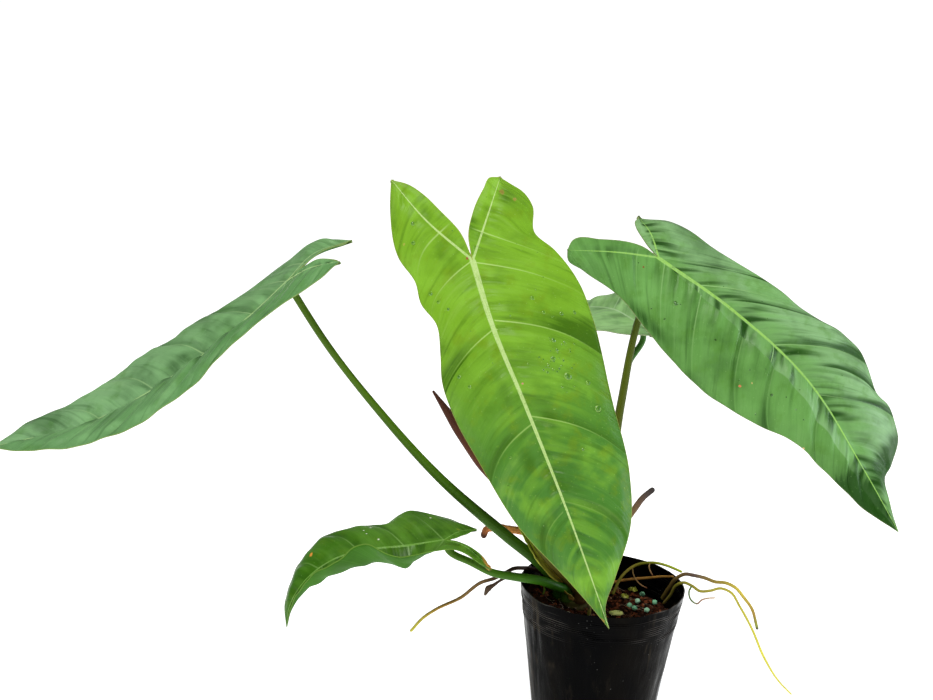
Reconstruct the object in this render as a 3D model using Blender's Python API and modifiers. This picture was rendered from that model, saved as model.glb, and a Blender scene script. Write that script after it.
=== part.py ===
"""A young philodendron in a soft nursery pot: pot, soil, stem, five leaves on their
petioles, a rolled cataphyll, a dried one, aerial roots over the rim, and loose pieces
on the soil. Metres, +Z up, origin at the centre of the pot's underside, and -Y is the
side from which the front leaf is seen."""

from math import cos, hypot, pi, radians, sin

import bmesh
import bpy
import numpy as np
from mathutils import Matrix, Vector

# --- Driving dimensions ---------------------------------------------------------------
GAP = 0.0003  # between pieces that touch

POT_RADIUS = 0.060  # outer, at the rim
POT_BASE_RADIUS = 0.044
POT_HEIGHT = 0.110
POT_WALL = 0.0008
POT_CORNER = 0.003  # rounding between the wall and the base
POT_STEPS = 64
DRAIN_RADIUS = 0.004
DRAIN_CIRCLE = 0.028
DRAIN_COUNT = 6

SOIL_DROP = 0.024  # rim to soil on the low side, +X
SOIL_MOUND = 0.012  # rise towards -X
SOIL_SIDE_GAP = 0.0006

CROWN_X, CROWN_Y = -0.020, 0.008  # the stem's axis
CROWN_RISE = 0.005  # the stem's top above the soil
STEM_DEPTH = 0.030  # length of the stem that is in the soil
PETIOLE_BASE = 0.0044  # radius of the thickest petiole where it leaves the stem
CROWN_RING = 2.4 * PETIOLE_BASE  # circle on which the petioles stand
STEM_RADIUS = CROWN_RING + PETIOLE_BASE

BLADE_THICKNESS = 0.0009
MIDRIB_THICKNESS = 0.0028
LOBE_ROWS, BLADE_ROWS = 5, 18
SIDE_COLUMNS, NOTCH_COLUMNS = 4, 2

PELLET_RADIUS = 0.0022

# --- Leaves ---------------------------------------------------------------------------
# joint: where the petiole meets the blade, from the crown. Outline points are fractions
# of the blade's length from joint to tip: (along the blade, across it, above it). Each
# lobe has a rib that ends at the lobe's tip, a margin from there round to the blade's
# tip, and a notch edge from there in to the joint. cup is each half's rise between the
# midrib and its margin.
LEAVES = {
    "front": dict(
        joint=(-0.087, -0.028, 0.255), aim=(0.38, -0.36, -0.85), facing=(0.0, -0.92, 0.39), length=0.262,
        midrib=[(0.17, -0.01, 0.02), (0.40, 0.0, 0.03), (0.70, 0.01, 0.03)],
        ribs=([(-0.14, -0.08, 0.0), (-0.28, -0.13, -0.03)], [(-0.09, 0.07, 0.0), (-0.19, 0.145, -0.03)]),
        margins=(
            [(-0.20, -0.16, -0.03), (-0.07, -0.18, -0.02), (0.0, -0.16, -0.03), (0.06, -0.165, -0.02),
             (0.13, -0.145, -0.01), (0.20, -0.16, -0.03), (0.27, -0.18, -0.04), (0.38, -0.18, -0.03),
             (0.50, -0.16, -0.02), (0.69, -0.12, -0.02), (0.86, -0.045, -0.02)],
            [(-0.167, 0.164, -0.035), (-0.135, 0.19, -0.04), (-0.09, 0.20, -0.03), (-0.02, 0.18, -0.02), (0.04, 0.215, -0.03),
             (0.14, 0.248, -0.045), (0.25, 0.25, -0.05), (0.46, 0.225, -0.05), (0.64, 0.205, -0.04),
             (0.78, 0.16, -0.03), (0.91, 0.07, -0.01)],
        ),
        notches=([(-0.25, -0.090, -0.02), (-0.205, -0.060, -0.01), (-0.165, -0.042, 0.0), (-0.07, -0.006, 0.02)],
                 [(-0.199, 0.118, -0.03), (-0.175, 0.092, -0.02), (-0.13, 0.05, 0.0), (-0.06, 0.01, 0.02)]),
        cup=(0.06, 0.06),
    ),
    "right": dict(
        joint=(0.043, 0.002, 0.257), aim=(0.70, -0.15, -0.70), facing=(0.33, -0.80, 0.50), length=0.259,
        midrib=[(0.21, 0.03, 0.05), (0.50, 0.05, 0.08), (0.80, 0.03, 0.03)],
        ribs=([(-0.09, -0.09, 0.0), (-0.18, -0.18, -0.03)], [(-0.06, 0.03, 0.0), (-0.11, 0.06, -0.04)]),
        margins=(
            [(-0.158, -0.191, -0.045), (-0.11, -0.176, -0.05), (0.0, -0.155, -0.03), (0.13, -0.165, -0.02), (0.30, -0.17, -0.01),
             (0.47, -0.14, 0.02), (0.61, -0.08, 0.03), (0.72, -0.055, 0.01), (0.88, -0.03, -0.01)],
            [(-0.093, 0.078, -0.04), (-0.05, 0.12, -0.03), (0.10, 0.15, 0.01), (0.26, 0.195, 0.03), (0.40, 0.22, 0.045),
             (0.50, 0.265, 0.03), (0.56, 0.275, 0.03), (0.61, 0.245, 0.05), (0.67, 0.21, 0.05),
             (0.74, 0.232, 0.02), (0.82, 0.20, 0.0), (0.865, 0.14, -0.02), (0.87, 0.075, 0.01), (0.93, 0.03, 0.01)],
        ),
        notches=([(-0.191, -0.157, -0.02), (-0.145, -0.10, 0.0), (-0.06, -0.03, 0.02)],
                 [(-0.114, 0.038, -0.03), (-0.08, 0.010, -0.01), (-0.04, -0.002, 0.0)]),
        cup=(0.06, 0.06),
    ),
    "left": dict(
        joint=(-0.215, -0.018, 0.231), aim=(-0.85, -0.13, -0.52), facing=(-0.50, -0.16, 0.85), length=0.237,
        midrib=[(0.11, 0.0, -0.03), (0.39, 0.0, -0.08), (0.70, 0.0, -0.085)],
        ribs=([(-0.10, -0.07, 0.01), (-0.22, -0.13, -0.03)], [(-0.08, 0.06, 0.02), (-0.17, 0.11, 0.01)]),
        margins=(
            [(-0.15, -0.17, 0.0), (-0.02, -0.20, -0.01), (0.12, -0.20, -0.03), (0.37, -0.22, -0.05),
             (0.54, -0.225, -0.06), (0.72, -0.17, -0.06), (0.87, -0.09, -0.02)],
            [(-0.10, 0.16, 0.01), (0.0, 0.18, 0.01), (0.20, 0.155, -0.03), (0.38, 0.20, -0.07),
             (0.58, 0.22, -0.08), (0.74, 0.165, -0.07), (0.90, 0.085, -0.03)],
        ),
        notches=([(-0.15, -0.08, 0.0), (-0.07, -0.03, 0.01)], [(-0.12, 0.06, 0.03), (-0.05, 0.02, 0.02)]),
        cup=(0.05, 0.05),
    ),
    "low": dict(
        joint=(-0.097, -0.043, 0.055), aim=(-0.88, -0.16, -0.45), facing=(-0.44, -0.14, 0.89), length=0.122,
        midrib=[(0.20, 0.0, 0.07), (0.40, 0.0, 0.15), (0.62, 0.0, 0.195), (0.84, 0.0, 0.14), (0.97, 0.0, 0.04)],
        tip=(1.04, 0.0, -0.07),
        ribs=([(-0.09, -0.07, -0.03), (-0.20, -0.14, -0.10)], [(-0.07, 0.06, -0.03), (-0.18, 0.12, -0.24)]),
        margins=(
            [(-0.12, -0.24, -0.06), (0.0, -0.32, 0.02), (0.12, -0.34, 0.10), (0.28, -0.33, 0.10),
             (0.48, -0.32, 0.18), (0.68, -0.28, 0.21), (0.84, -0.19, 0.16), (0.95, -0.10, 0.09), (1.01, -0.04, 0.01)],
            [(-0.14, 0.17, -0.16), (-0.06, 0.16, -0.02), (0.10, 0.22, 0.09), (0.28, 0.27, 0.18),
             (0.40, 0.24, 0.32), (0.58, 0.22, 0.29), (0.76, 0.16, 0.24), (0.90, 0.07, 0.12), (1.0, 0.02, 0.0)],
        ),
        notches=([(-0.13, -0.08, -0.07), (-0.06, -0.02, -0.03)], [(-0.14, 0.09, -0.10), (-0.06, 0.03, -0.02)]),
        cup=(0.10, -0.40),
    ),
    "back": dict(
        joint=(0.040, 0.062, 0.192), aim=(-0.73, 0.66, -0.17), facing=(-0.30, -0.08, 0.95), length=0.136,
        midrib=[(0.16, 0.0, 0.08), (0.35, 0.0, 0.09), (0.65, 0.0, 0.07)],
        ribs=([(-0.09, -0.08, 0.02), (-0.20, -0.15, -0.02)], [(-0.09, 0.08, 0.02), (-0.20, 0.16, 0.02)]),
        margins=(
            [(-0.12, -0.24, 0.02), (0.0, -0.29, 0.06), (0.18, -0.31, 0.08), (0.40, -0.29, 0.02),
             (0.62, -0.22, -0.01), (0.84, -0.11, 0.0)],
            [(-0.12, 0.25, 0.06), (0.0, 0.30, 0.10), (0.18, 0.32, 0.10), (0.40, 0.30, 0.08),
             (0.62, 0.23, 0.05), (0.84, 0.12, 0.02)],
        ),
        notches=([(-0.15, -0.09, 0.01), (-0.07, -0.03, 0.02)], [(-0.15, 0.10, 0.02), (-0.07, 0.03, 0.02)]),
        cup=(0.08, 0.08),
    ),
}

# Petioles: angle of the foot on the crown, foot radius as a share of PETIOLE_BASE, top
# radius, and the points between foot and blade, from the foot.
PETIOLES = {
    "front": (295, 1.0, 0.0024, [(-0.009, -0.006, 0.018), (-0.025, -0.006, 0.034), (-0.045, 0.0, 0.064), (-0.062, 0.004, 0.118), (-0.082, 0.002, 0.200)]),
    "right": (0, 0.92, 0.0021, [(0.006, 0.0, 0.040), (0.014, 0.0, 0.150), (0.021, 0.001, 0.208), (0.028, 0.0, 0.237)]),
    "left": (190, 1.0, 0.0021, [(-0.014, -0.002, 0.023), (-0.041, -0.004, 0.045), (-0.090, -0.008, 0.087), (-0.137, -0.012, 0.138), (-0.176, -0.015, 0.187)]),
    "low": (240, 0.86, 0.0021, [(-0.007, -0.013, 0.014), (-0.021, -0.021, 0.022), (-0.040, -0.028, 0.027), (-0.056, -0.032, 0.031), (-0.072, -0.034, 0.039)]),
    "back": (55, 0.88, 0.0019, [(0.011, 0.012, 0.021), (0.015, 0.018, 0.065), (0.022, 0.036, 0.126), (0.027, 0.046, 0.164)]),
}

# Roots that lie over the rim: (angle about the pot's axis, reach from the pot's outer
# wall, rise above the rim), and the radius at the crown end and at the tip.
RIM_ROOTS = {
    "root_orange": ([(86, -0.028, -0.014), (62, -0.0132, -0.0125), (45, -0.0057, -0.009), (32, -0.0042, -0.004),
                     (24, -0.0039, -0.001), (19, -0.0035, 0.001)], 0.0013, 0.0010),
    "root_yellow": ([(66, -0.0314, -0.018), (62, -0.0211, -0.0065), (56, -0.0099, -0.001), (42, -0.006, 0.004),
                     (31, -0.0035, 0.0055), (23, -0.0005, 0.0055), (19, 0.0030, 0.0045)], 0.0014, 0.0011),
    "root_long": ([(20, -0.0055, -0.0205), (13, -0.0046, -0.0105), (8, -0.0045, -0.0020), (2, 0.0003, 0.0036),
                   (-1, 0.0060, 0.0025), (-3, 0.0110, 0.0002), (-4, 0.0186, 0.0015), (-4, 0.0260, 0.0040),
                   (-5, 0.0330, 0.0025), (-6, 0.0410, -0.0078), (-5, 0.0513, -0.0250), (-5, 0.0621, -0.0467),
                   (-4, 0.0766, -0.0677), (-4, 0.0848, -0.0753)], 0.0013, 0.0010),
    "root_thick": ([(26, -0.0040, -0.0190), (17, -0.0051, -0.0060), (11, -0.0034, 0.0034), (8, 0.0018, 0.0076),
                    (5, 0.0070, 0.0082), (3, 0.0154, 0.0073), (1, 0.0225, 0.0058), (-1, 0.0300, 0.0066),
                    (-2, 0.0365, 0.0044), (-2, 0.0440, -0.0035), (-2, 0.0500, -0.0110), (-3, 0.0555, -0.0260)], 0.0018, 0.0012),
    "root_left": ([(145, -0.0091, -0.006), (158, -0.005, 0.0005), (168, -0.001, 0.0042), (175, 0.005, 0.0062),
                   (181, 0.010, 0.0062), (182, 0.019, 0.0012), (183, 0.028, -0.0015), (183, 0.043, -0.0143),
                   (184, 0.0606, -0.0231), (184, 0.070, -0.0304), (184, 0.078, -0.0405)], 0.0019, 0.0012),
    "root_hooked": ([(-6, 0.0030, 0.0), (-7, 0.0050, -0.0050), (-7, 0.0100, -0.0079), (-7, 0.0132, -0.0045),
                     (-7, 0.0166, -0.0030), (-7, 0.0220, -0.0020)], 0.0008, 0.0006),
    "root_shrivelled": ([(186, 0.0115, 0.0040), (186, 0.0150, 0.0020), (186, 0.0195, -0.0015), (186, 0.0235, -0.0045),
                         (186, 0.0255, -0.0090)], 0.0016, 0.0010),
}
# The upright root, as points from the stem's side: (outward, round it, above the crown).
UPRIGHT_ROOT = [(0.004, 0.002, 0.006), (0.007, 0.002, 0.028), (0.016, 0.002, 0.050), (0.025, 0.002, 0.068), (0.031, 0.002, 0.078), (0.037, 0.002, 0.084)]


# --- Helpers --------------------------------------------------------------------------
def pot_wall(z):
    """Outer radius of the pot at a height."""
    return POT_BASE_RADIUS + (POT_RADIUS - POT_BASE_RADIUS) * z / POT_HEIGHT


def soil_height(x, y):
    """Top of the soil: level at +X and rising in a soft mound towards -X."""
    inner = pot_wall(POT_HEIGHT - SOIL_DROP)
    t = min(max((0.35 - x / inner) / 1.3, 0.0), 1.0)
    ripple = 0.0008 * sin(140 * x + 1.0) * cos(110 * y)
    return POT_HEIGHT - SOIL_DROP + SOIL_MOUND * (3 - 2 * t) * t * t + ripple


CROWN = Vector((CROWN_X, CROWN_Y, soil_height(CROWN_X, CROWN_Y) + CROWN_RISE))


def smooth(points, count):
    """count points, evenly spaced along a smooth curve through the given ones."""
    points = np.array(points, float)
    steps = np.linalg.norm(np.diff(points, axis=0), axis=1)
    place = np.concatenate([[0.0], np.cumsum(steps)])
    slope = np.gradient(points, place, axis=0)
    found = []
    for s in np.linspace(0.0, place[-1], count):
        i = min(int(np.searchsorted(place, s, side="right")) - 1, len(steps) - 1)
        h = place[i + 1] - place[i]
        t = (s - place[i]) / h
        found.append(
            (1 + 2 * t) * (1 - t) ** 2 * points[i] + t * (1 - t) ** 2 * h * slope[i]
            + t * t * (3 - 2 * t) * points[i + 1] - t * t * (1 - t) * h * slope[i + 1]
        )
    return found


def material(name, colour, roughness):
    made = bpy.data.materials.new(name)
    made.use_nodes = True
    shader = made.node_tree.nodes["Principled BSDF"]
    shader.inputs["Base Color"].default_value = (*colour, 1.0)
    shader.inputs["Roughness"].default_value = roughness
    shader.inputs["Metallic"].default_value = 0.0
    return made


def add(name, data, slot, where=None):
    made = bpy.data.objects.new(name, data)
    (where or plant).objects.link(made)
    if slot:
        data.materials.append(slot)
    return made


def turned(name, profile, steps, slot, where=None):
    """A solid of revolution about Z: a profile in XZ with a Screw modifier."""
    mesh = bpy.data.meshes.new(name)
    mesh.from_pydata([(r, 0.0, z) for r, z in profile], [(i, i + 1) for i in range(len(profile) - 1)], [])
    made = add(name, mesh, slot, where)
    screw = made.modifiers.new("Turn", "SCREW")
    screw.steps = screw.render_steps = steps
    screw.use_merge_vertices = True
    screw.merge_threshold = 0.00001
    screw.use_smooth_shade = True
    return made


def cut(target, cutter):
    boolean = target.modifiers.new("Cut " + cutter.name, "BOOLEAN")
    boolean.operation = "DIFFERENCE"
    boolean.object = cutter
    cutter.hide_render = True
    cutter.display_type = "WIRE"


def tube(name, points, radii, slot, count=18, sides=2, upright=False, into=None):
    """A round tube along a smooth curve, its radius running through the given radii. It
    may stand square on the crown, and may end square to the direction it runs into."""
    path = [Vector(p) for p in smooth(points, count)]
    step = (path[1] - path[0]).length
    if upright:
        path[1] = path[0] + Vector((0, 0, step))
    if into:
        path[-2] = path[-1] - into * step
    curve = bpy.data.curves.new(name, "CURVE")
    curve.dimensions = "3D"
    curve.bevel_depth = max(radii)
    curve.bevel_resolution = sides
    curve.use_fill_caps = True
    spline = curve.splines.new("POLY")
    spline.points.add(count - 1)
    for i, place in enumerate(path):
        spline.points[i].co = (*place, 1.0)
        spline.points[i].radius = float(np.interp(i / (count - 1), np.linspace(0, 1, len(radii)), radii)) / max(radii)
    return add(name, curve, slot)


def leaf_axes(leaf):
    along = Vector(leaf["aim"]).normalized()
    facing = Vector(leaf["facing"])
    facing = (facing - facing.dot(along) * along).normalized()
    return along, facing.cross(along), facing


def blade(name, leaf, slot):
    """A heart-shaped blade: an open sheet, lofted from the ribs out to each margin, with
    Solidify making it a shell that is thicker under the midrib."""
    along, across, facing = leaf_axes(leaf)
    joint, length = CROWN + Vector(leaf["joint"]), leaf["length"]
    made, corners, rib_weight = bmesh.new(), {}, {}

    def corner(point, weight):
        a, b, c = (length * float(v) for v in point)
        place = joint + a * along + b * across + c * facing
        key = tuple(round(v, 7) for v in place)
        if key not in corners:
            corners[key] = made.verts.new(place)
        rib_weight[corners[key]] = max(weight, rib_weight.get(corners[key], 0.0))
        return corners[key]

    def sheet(inner, outer, columns, cup, turn):
        """Quads between two edges, turned so that they face up."""
        grid = []
        for i, (a, b) in enumerate(zip(inner, outer)):
            ease = min(1.0, abs(i - LOBE_ROWS) / 4)  # flat where it meets the petiole
            rise = cup * ease * float(np.linalg.norm(b - a))
            strength = max(0.0, 1.0 - abs(i - LOBE_ROWS) / BLADE_ROWS)
            grid.append([
                corner(a + (b - a) * t + np.array((0, 0, rise * 4 * t * (1 - t))), strength if t == 0 else 0.0)
                for t in np.linspace(0, 1, columns + 1)
            ])
        for low, high in zip(grid, grid[1:]):
            for j in range(columns):
                ring = [low[j], low[j + 1], high[j + 1], high[j]]
                ring = [v for k, v in enumerate(ring) if v is not ring[k - 1]]
                if len(ring) > 2:
                    made.faces.new(ring[::-1] if turn else ring)

    tip = leaf.get("tip", (1, 0, 0))
    middle = smooth([(0, 0, 0)] + leaf["midrib"] + [tip], BLADE_ROWS + 1)
    for side in (0, 1):
        lobe_tip = leaf["ribs"][side][-1]
        rib = smooth([lobe_tip, *leaf["ribs"][side][-2::-1], (0, 0, 0)], LOBE_ROWS + 1)
        spine = rib + middle[1:]
        margin = smooth([lobe_tip, *leaf["margins"][side], tip], LOBE_ROWS + BLADE_ROWS + 1)
        notch = smooth([lobe_tip, *leaf["notches"][side], (0, 0, 0)], LOBE_ROWS + 1)
        sheet(spine, margin, SIDE_COLUMNS, leaf["cup"][side], side == 1)
        sheet(rib, notch, NOTCH_COLUMNS, 0.0, side == 0)
    mesh = bpy.data.meshes.new(name)
    made.verts.index_update()
    weights = {v.index: w for v, w in rib_weight.items()}
    made.to_mesh(mesh)
    made.free()
    mesh.shade_smooth()
    shell = add(name, mesh, slot)
    group = shell.vertex_groups.new(name="midrib")
    for index, weight in weights.items():
        group.add([index], weight, "REPLACE")
    solid = shell.modifiers.new("Thickness", "SOLIDIFY")
    solid.thickness = MIDRIB_THICKNESS
    solid.offset = -1.0
    solid.vertex_group = "midrib"
    solid.thickness_vertex_group = BLADE_THICKNESS / MIDRIB_THICKNESS
    return shell


def foot(angle, radius, height=GAP):
    """A place on the crown's ring, for a piece of this radius."""
    turn = radians(angle)
    return CROWN + Vector((CROWN_RING * cos(turn), CROWN_RING * sin(turn), height))


def rim_point(angle, reach, rise):
    """A place given from the pot's outer wall, at that height inside it and at the rim
    outside it, and from the rim's height."""
    turn = radians(angle)
    r = reach + (pot_wall(POT_HEIGHT + min(rise, 0.0)) if reach < 0 else POT_RADIUS)
    return Vector((r * cos(turn), r * sin(turn), POT_HEIGHT + rise))


def resting(x, y, reach):
    """Height at which a piece of this reach clears the soil."""
    spots = [(0.0, 0.0)] + [(reach * cos(k * pi / 4), reach * sin(k * pi / 4)) for k in range(8)]
    return max(soil_height(x + a, y + b) for a, b in spots) + 2 * GAP


def on_soil(angle, share):
    """A place on the soil, as an angle and a share of the pot's inner radius there."""
    r = share * (pot_wall(POT_HEIGHT - SOIL_DROP) - POT_WALL)
    return r * cos(radians(angle)), r * sin(radians(angle))


def chip(name, angle, share, size, turn, slot):
    """A flat splinter of bark: a cube tapered to one end and bevelled."""
    x, y = on_soil(angle, share)
    shape = bmesh.new()
    bmesh.ops.create_cube(shape, size=1.0)
    for v in shape.verts:
        narrow = 0.62 if v.co.x > 0 else 1.0
        v.co = Vector((v.co.x * size[0], v.co.y * size[1] * narrow, v.co.z * size[2] * narrow))
    mesh = bpy.data.meshes.new(name)
    shape.to_mesh(mesh)
    shape.free()
    made = add(name, mesh, slot)
    made.location = (x, y, resting(x, y, size[0] / 2) + size[2] / 2)
    made.rotation_euler = (0, 0, radians(turn))
    bevel = made.modifiers.new("Worn edges", "BEVEL")
    bevel.width = 0.15 * min(size)
    bevel.segments = 1
    return made


def lump(name, angle, share, radius, squash, slot, segments=10):
    """A rounded grain or clump that rests on the soil."""
    x, y = on_soil(angle, share)
    shape = bmesh.new()
    bmesh.ops.create_uvsphere(shape, u_segments=segments, v_segments=6, radius=radius)
    bmesh.ops.scale(shape, vec=(1.0, 1.0, squash), verts=shape.verts)
    mesh = bpy.data.meshes.new(name)
    shape.to_mesh(mesh)
    shape.free()
    mesh.shade_smooth()
    made = add(name, mesh, slot)
    made.location = (x, y, resting(x, y, radius * 0.6) + radius * squash)
    return made


# --- Scene ----------------------------------------------------------------------------
for old in list(bpy.data.objects):
    bpy.data.objects.remove(old, do_unlink=True)
plant = bpy.data.collections.new("Potted philodendron")
cutters = bpy.data.collections.new("Cutters")
for group in (plant, cutters):
    bpy.context.scene.collection.children.link(group)
cutters.hide_render = True

film = material("pot film", (0.012, 0.012, 0.014), 0.3)
earth = material("soil", (0.05, 0.022, 0.012), 0.95)
stem_green = material("stem", (0.10, 0.12, 0.03), 0.6)
leaf_bright = material("leaf bright", (0.14, 0.38, 0.03), 0.4)
leaf_green = material("leaf", (0.08, 0.24, 0.05), 0.4)
petiole_green = material("petiole", (0.03, 0.15, 0.02), 0.45)
bract_red = material("cataphyll", (0.19, 0.05, 0.03), 0.6)
bract_dry = material("dried cataphyll", (0.50, 0.16, 0.04), 0.8)
root_brown = material("root brown", (0.16, 0.08, 0.05), 0.7)
root_orange = material("root orange", (0.42, 0.20, 0.06), 0.6)
root_yellow = material("root yellow", (0.45, 0.40, 0.08), 0.6)
bark = material("bark", (0.11, 0.035, 0.02), 0.9)
moss = material("moss", (0.35, 0.40, 0.06), 0.9)
feed = material("fertiliser", (0.18, 0.50, 0.30), 0.5)

# Pot: a turned wall and base, with drain holes through the base.
top, low = POT_HEIGHT, POT_CORNER
profile = [(0.0, POT_WALL), (pot_wall(low) - POT_WALL - POT_CORNER * 0.7, POT_WALL), (pot_wall(low) - POT_WALL, low)]
profile += [(pot_wall(z) - POT_WALL, z) for z in (0.35 * top, 0.7 * top, top - POT_WALL)]
profile += [(pot_wall(top) - 0.75 * POT_WALL, top), (pot_wall(top) - 0.25 * POT_WALL, top), (pot_wall(top), top - POT_WALL)]
profile += [(pot_wall(z), z) for z in (0.7 * top, 0.35 * top, low)]
profile += [(pot_wall(low) - POT_CORNER * 0.35, POT_CORNER * 0.3), (pot_wall(low) - POT_CORNER * 1.1, 0.0), (0.0, 0.0)]
pot = turned("nursery_pot", profile, POT_STEPS, film)
for k in range(DRAIN_COUNT):
    turn = radians(30 + 360 * k / DRAIN_COUNT)
    bpy.ops.mesh.primitive_cylinder_add(
        vertices=16, radius=DRAIN_RADIUS, depth=6 * POT_WALL,
        location=(DRAIN_CIRCLE * cos(turn), DRAIN_CIRCLE * sin(turn), POT_WALL / 2),
    )
    hole = bpy.context.object
    hole.name = "drain cutter %d" % (k + 1)
    for owner in list(hole.users_collection):
        owner.objects.unlink(hole)
    cutters.objects.link(hole)
    cut(pot, hole)

# Soil: fills the pot up to its mounded top, with a socket for the stem.
inside = POT_WALL + SOIL_SIDE_GAP
foot_z = POT_WALL + GAP
soil_top = POT_HEIGHT - SOIL_DROP
soil_radius = pot_wall(soil_top) - inside
profile = [(0.0, soil_top)] + [(soil_radius * k / 8, soil_top) for k in range(1, 9)]
profile += [(pot_wall(z) - inside, z) for z in (0.55 * soil_top, low + inside)]
profile += [(pot_wall(low) - inside - POT_CORNER, foot_z), (0.0, foot_z)]
soil = turned("soil", profile, 40, earth)
graph = bpy.context.evaluated_depsgraph_get()
mesh = bpy.data.meshes.new_from_object(soil.evaluated_get(graph))
soil.modifiers.clear()
soil.data = mesh
for v in mesh.vertices:
    if v.co.z > soil_top - 0.0001:
        x, y = v.co.x, v.co.y
        v.co.z = soil_height(x, y)
        r = hypot(x, y)
        if r > soil_radius - 0.0001:
            wider = (pot_wall(v.co.z) - inside) / r
            v.co.x, v.co.y = x * wider, y * wider
socket = turned(
    "stem socket cutter",
    [(0.0, CROWN.z + 0.02), (STEM_RADIUS + GAP, CROWN.z + 0.02), (STEM_RADIUS + GAP, CROWN.z - CROWN_RISE - STEM_DEPTH - GAP), (0.0, CROWN.z - CROWN_RISE - STEM_DEPTH - GAP)],
    32, None, cutters,
)
socket.location = (CROWN_X, CROWN_Y, 0.0)
cut(soil, socket)

# Stem: a short stock, mostly in the soil, on which the petioles stand.
bottom = CROWN.z - CROWN_RISE - STEM_DEPTH
stem = turned(
    "stem",
    [(0.0, CROWN.z), (STEM_RADIUS * 0.9, CROWN.z), (STEM_RADIUS, CROWN.z - 0.0015), (STEM_RADIUS, bottom + 0.006), (STEM_RADIUS * 0.7, bottom), (0.0, bottom)],
    28, stem_green,
)
stem.location = (CROWN_X, CROWN_Y, 0.0)

# Leaves on their petioles. Each petiole comes square to its blade's underside.
for name, leaf in LEAVES.items():
    blade(name + "_blade", leaf, leaf_bright if name == "front" else leaf_green)
    angle, base, tip_radius, between = PETIOLES[name]
    along, across, facing = leaf_axes(leaf)
    joint = CROWN + Vector(leaf["joint"])
    start = foot(angle, base * PETIOLE_BASE)
    end = joint - facing * (MIDRIB_THICKNESS + 3 * GAP)
    points = [start, start + Vector((0, 0, 0.006))] + [start + Vector(p) for p in between]
    points += [end - facing * 0.008, end]
    tube(name + "_petiole", points, [base * PETIOLE_BASE, base * PETIOLE_BASE * 0.85, 1.25 * tip_radius, tip_radius, 1.15 * tip_radius], petiole_green, count=22, upright=True, into=facing)

# The rolled cataphyll and the dried one, with its hooked tip.
start = foot(105, 0.8 * PETIOLE_BASE)
tube(
    "cataphyll_spear",
    [start, start + Vector((0, 0, 0.006))] + [CROWN + Vector(p) for p in ((-0.010, 0.019, 0.028), (-0.038, 0.016, 0.062), (-0.070, 0.008, 0.095), (-0.084, 0.004, 0.114), (-0.110, 0.002, 0.150))],
    [0.8 * PETIOLE_BASE, 0.0050, 0.0058, 0.0062, 0.0060, 0.0045, 0.0010], bract_red, count=18, upright=True,
)
start = foot(148, 0.5 * PETIOLE_BASE)
tube(
    "dried_cataphyll",
    [start, start + Vector((0, 0, 0.005))] + [CROWN + Vector(p) for p in ((-0.022, 0.008, 0.022), (-0.036, 0.008, 0.043), (-0.050, 0.008, 0.0455), (-0.061, 0.006, 0.0475), (-0.068, 0.005, 0.0450))],
    [0.5 * PETIOLE_BASE, 0.0022, 0.0020, 0.0020, 0.0024, 0.0031, 0.0016], bract_dry, count=18, upright=True,
)

# Roots.
root_slots = {
    "root_orange": root_orange, "root_yellow": root_yellow, "root_long": root_yellow, "root_thick": root_brown, "root_left": root_brown,
    "root_hooked": root_orange, "root_shrivelled": root_brown,
}
for name, (points, thick, thin) in RIM_ROOTS.items():
    tube(name, [rim_point(*p) for p in points], [thick, thin], root_slots[name], count=26 if len(points) > 8 else 16)
tube("root_upright", [CROWN + Vector((STEM_RADIUS + a, b, c)) for a, b, c in UPRIGHT_ROOT], [0.0017, 0.0023], root_brown, count=12)

# Sprigs and loose pieces on the soil.
x, y = on_soil(235, 0.29)
z = resting(x, y, 0.002)
tube("root_stub", [(x, y, z + 0.0002), (x + 0.0004, y - 0.001, z + 0.004), (x - 0.0004, y - 0.002, z + 0.008)], [0.0015, 0.0013], root_yellow, count=6)
x, y = on_soil(176, 0.76)
z = resting(x, y, 0.001)
tube("sprout", [(x, y, z), (x + 0.001, y - 0.001, z + 0.004), (x - 0.001, y, z + 0.008)], [0.0009, 0.0006], moss, count=6)
for k, (angle, share) in enumerate(((45, 0.86), (35, 0.64), (20, 0.50), (10, 0.64), (27, 0.85), (30, 0.47))):
    lump("feed_pellet_%d" % (k + 1), angle, share, PELLET_RADIUS, 0.9, feed, 8)
lump("moss_clump_1", 57, 0.89, 0.0036, 0.6, moss)
lump("moss_clump_2", 54, 0.62, 0.0032, 0.6, moss)
chip("bark_chip_1", -16, 0.80, (0.012, 0.007, 0.003), 70, bark)
chip("bark_chip_2", 338, 0.55, (0.010, 0.006, 0.003), 20, bark)
chip("bark_chip_3", 250, 0.72, (0.013, 0.006, 0.0025), 160, bark)
chip("bark_chip_4", 215, 0.80, (0.011, 0.006, 0.0025), 35, bark)
chip("bark_chip_5", 100, 0.80, (0.012, 0.007, 0.003), 0, bark)
chip("pale_chip", 345, 0.22, (0.010, 0.007, 0.002), 8, moss)
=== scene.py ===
"""Looks of a young philodendron in a soft nursery pot: fine surfaces for every piece of
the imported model, their finishes, a pale floor, soft light and the camera. Metres, +Z up,
the pot stands on z = 0, and -Y is the side from which the front leaf is seen."""

from math import cos, exp, hypot, pi, radians, sin
from random import Random

import bmesh
import bpy
import numpy as np
from mathutils import Euler, Matrix, Vector, noise


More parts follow.
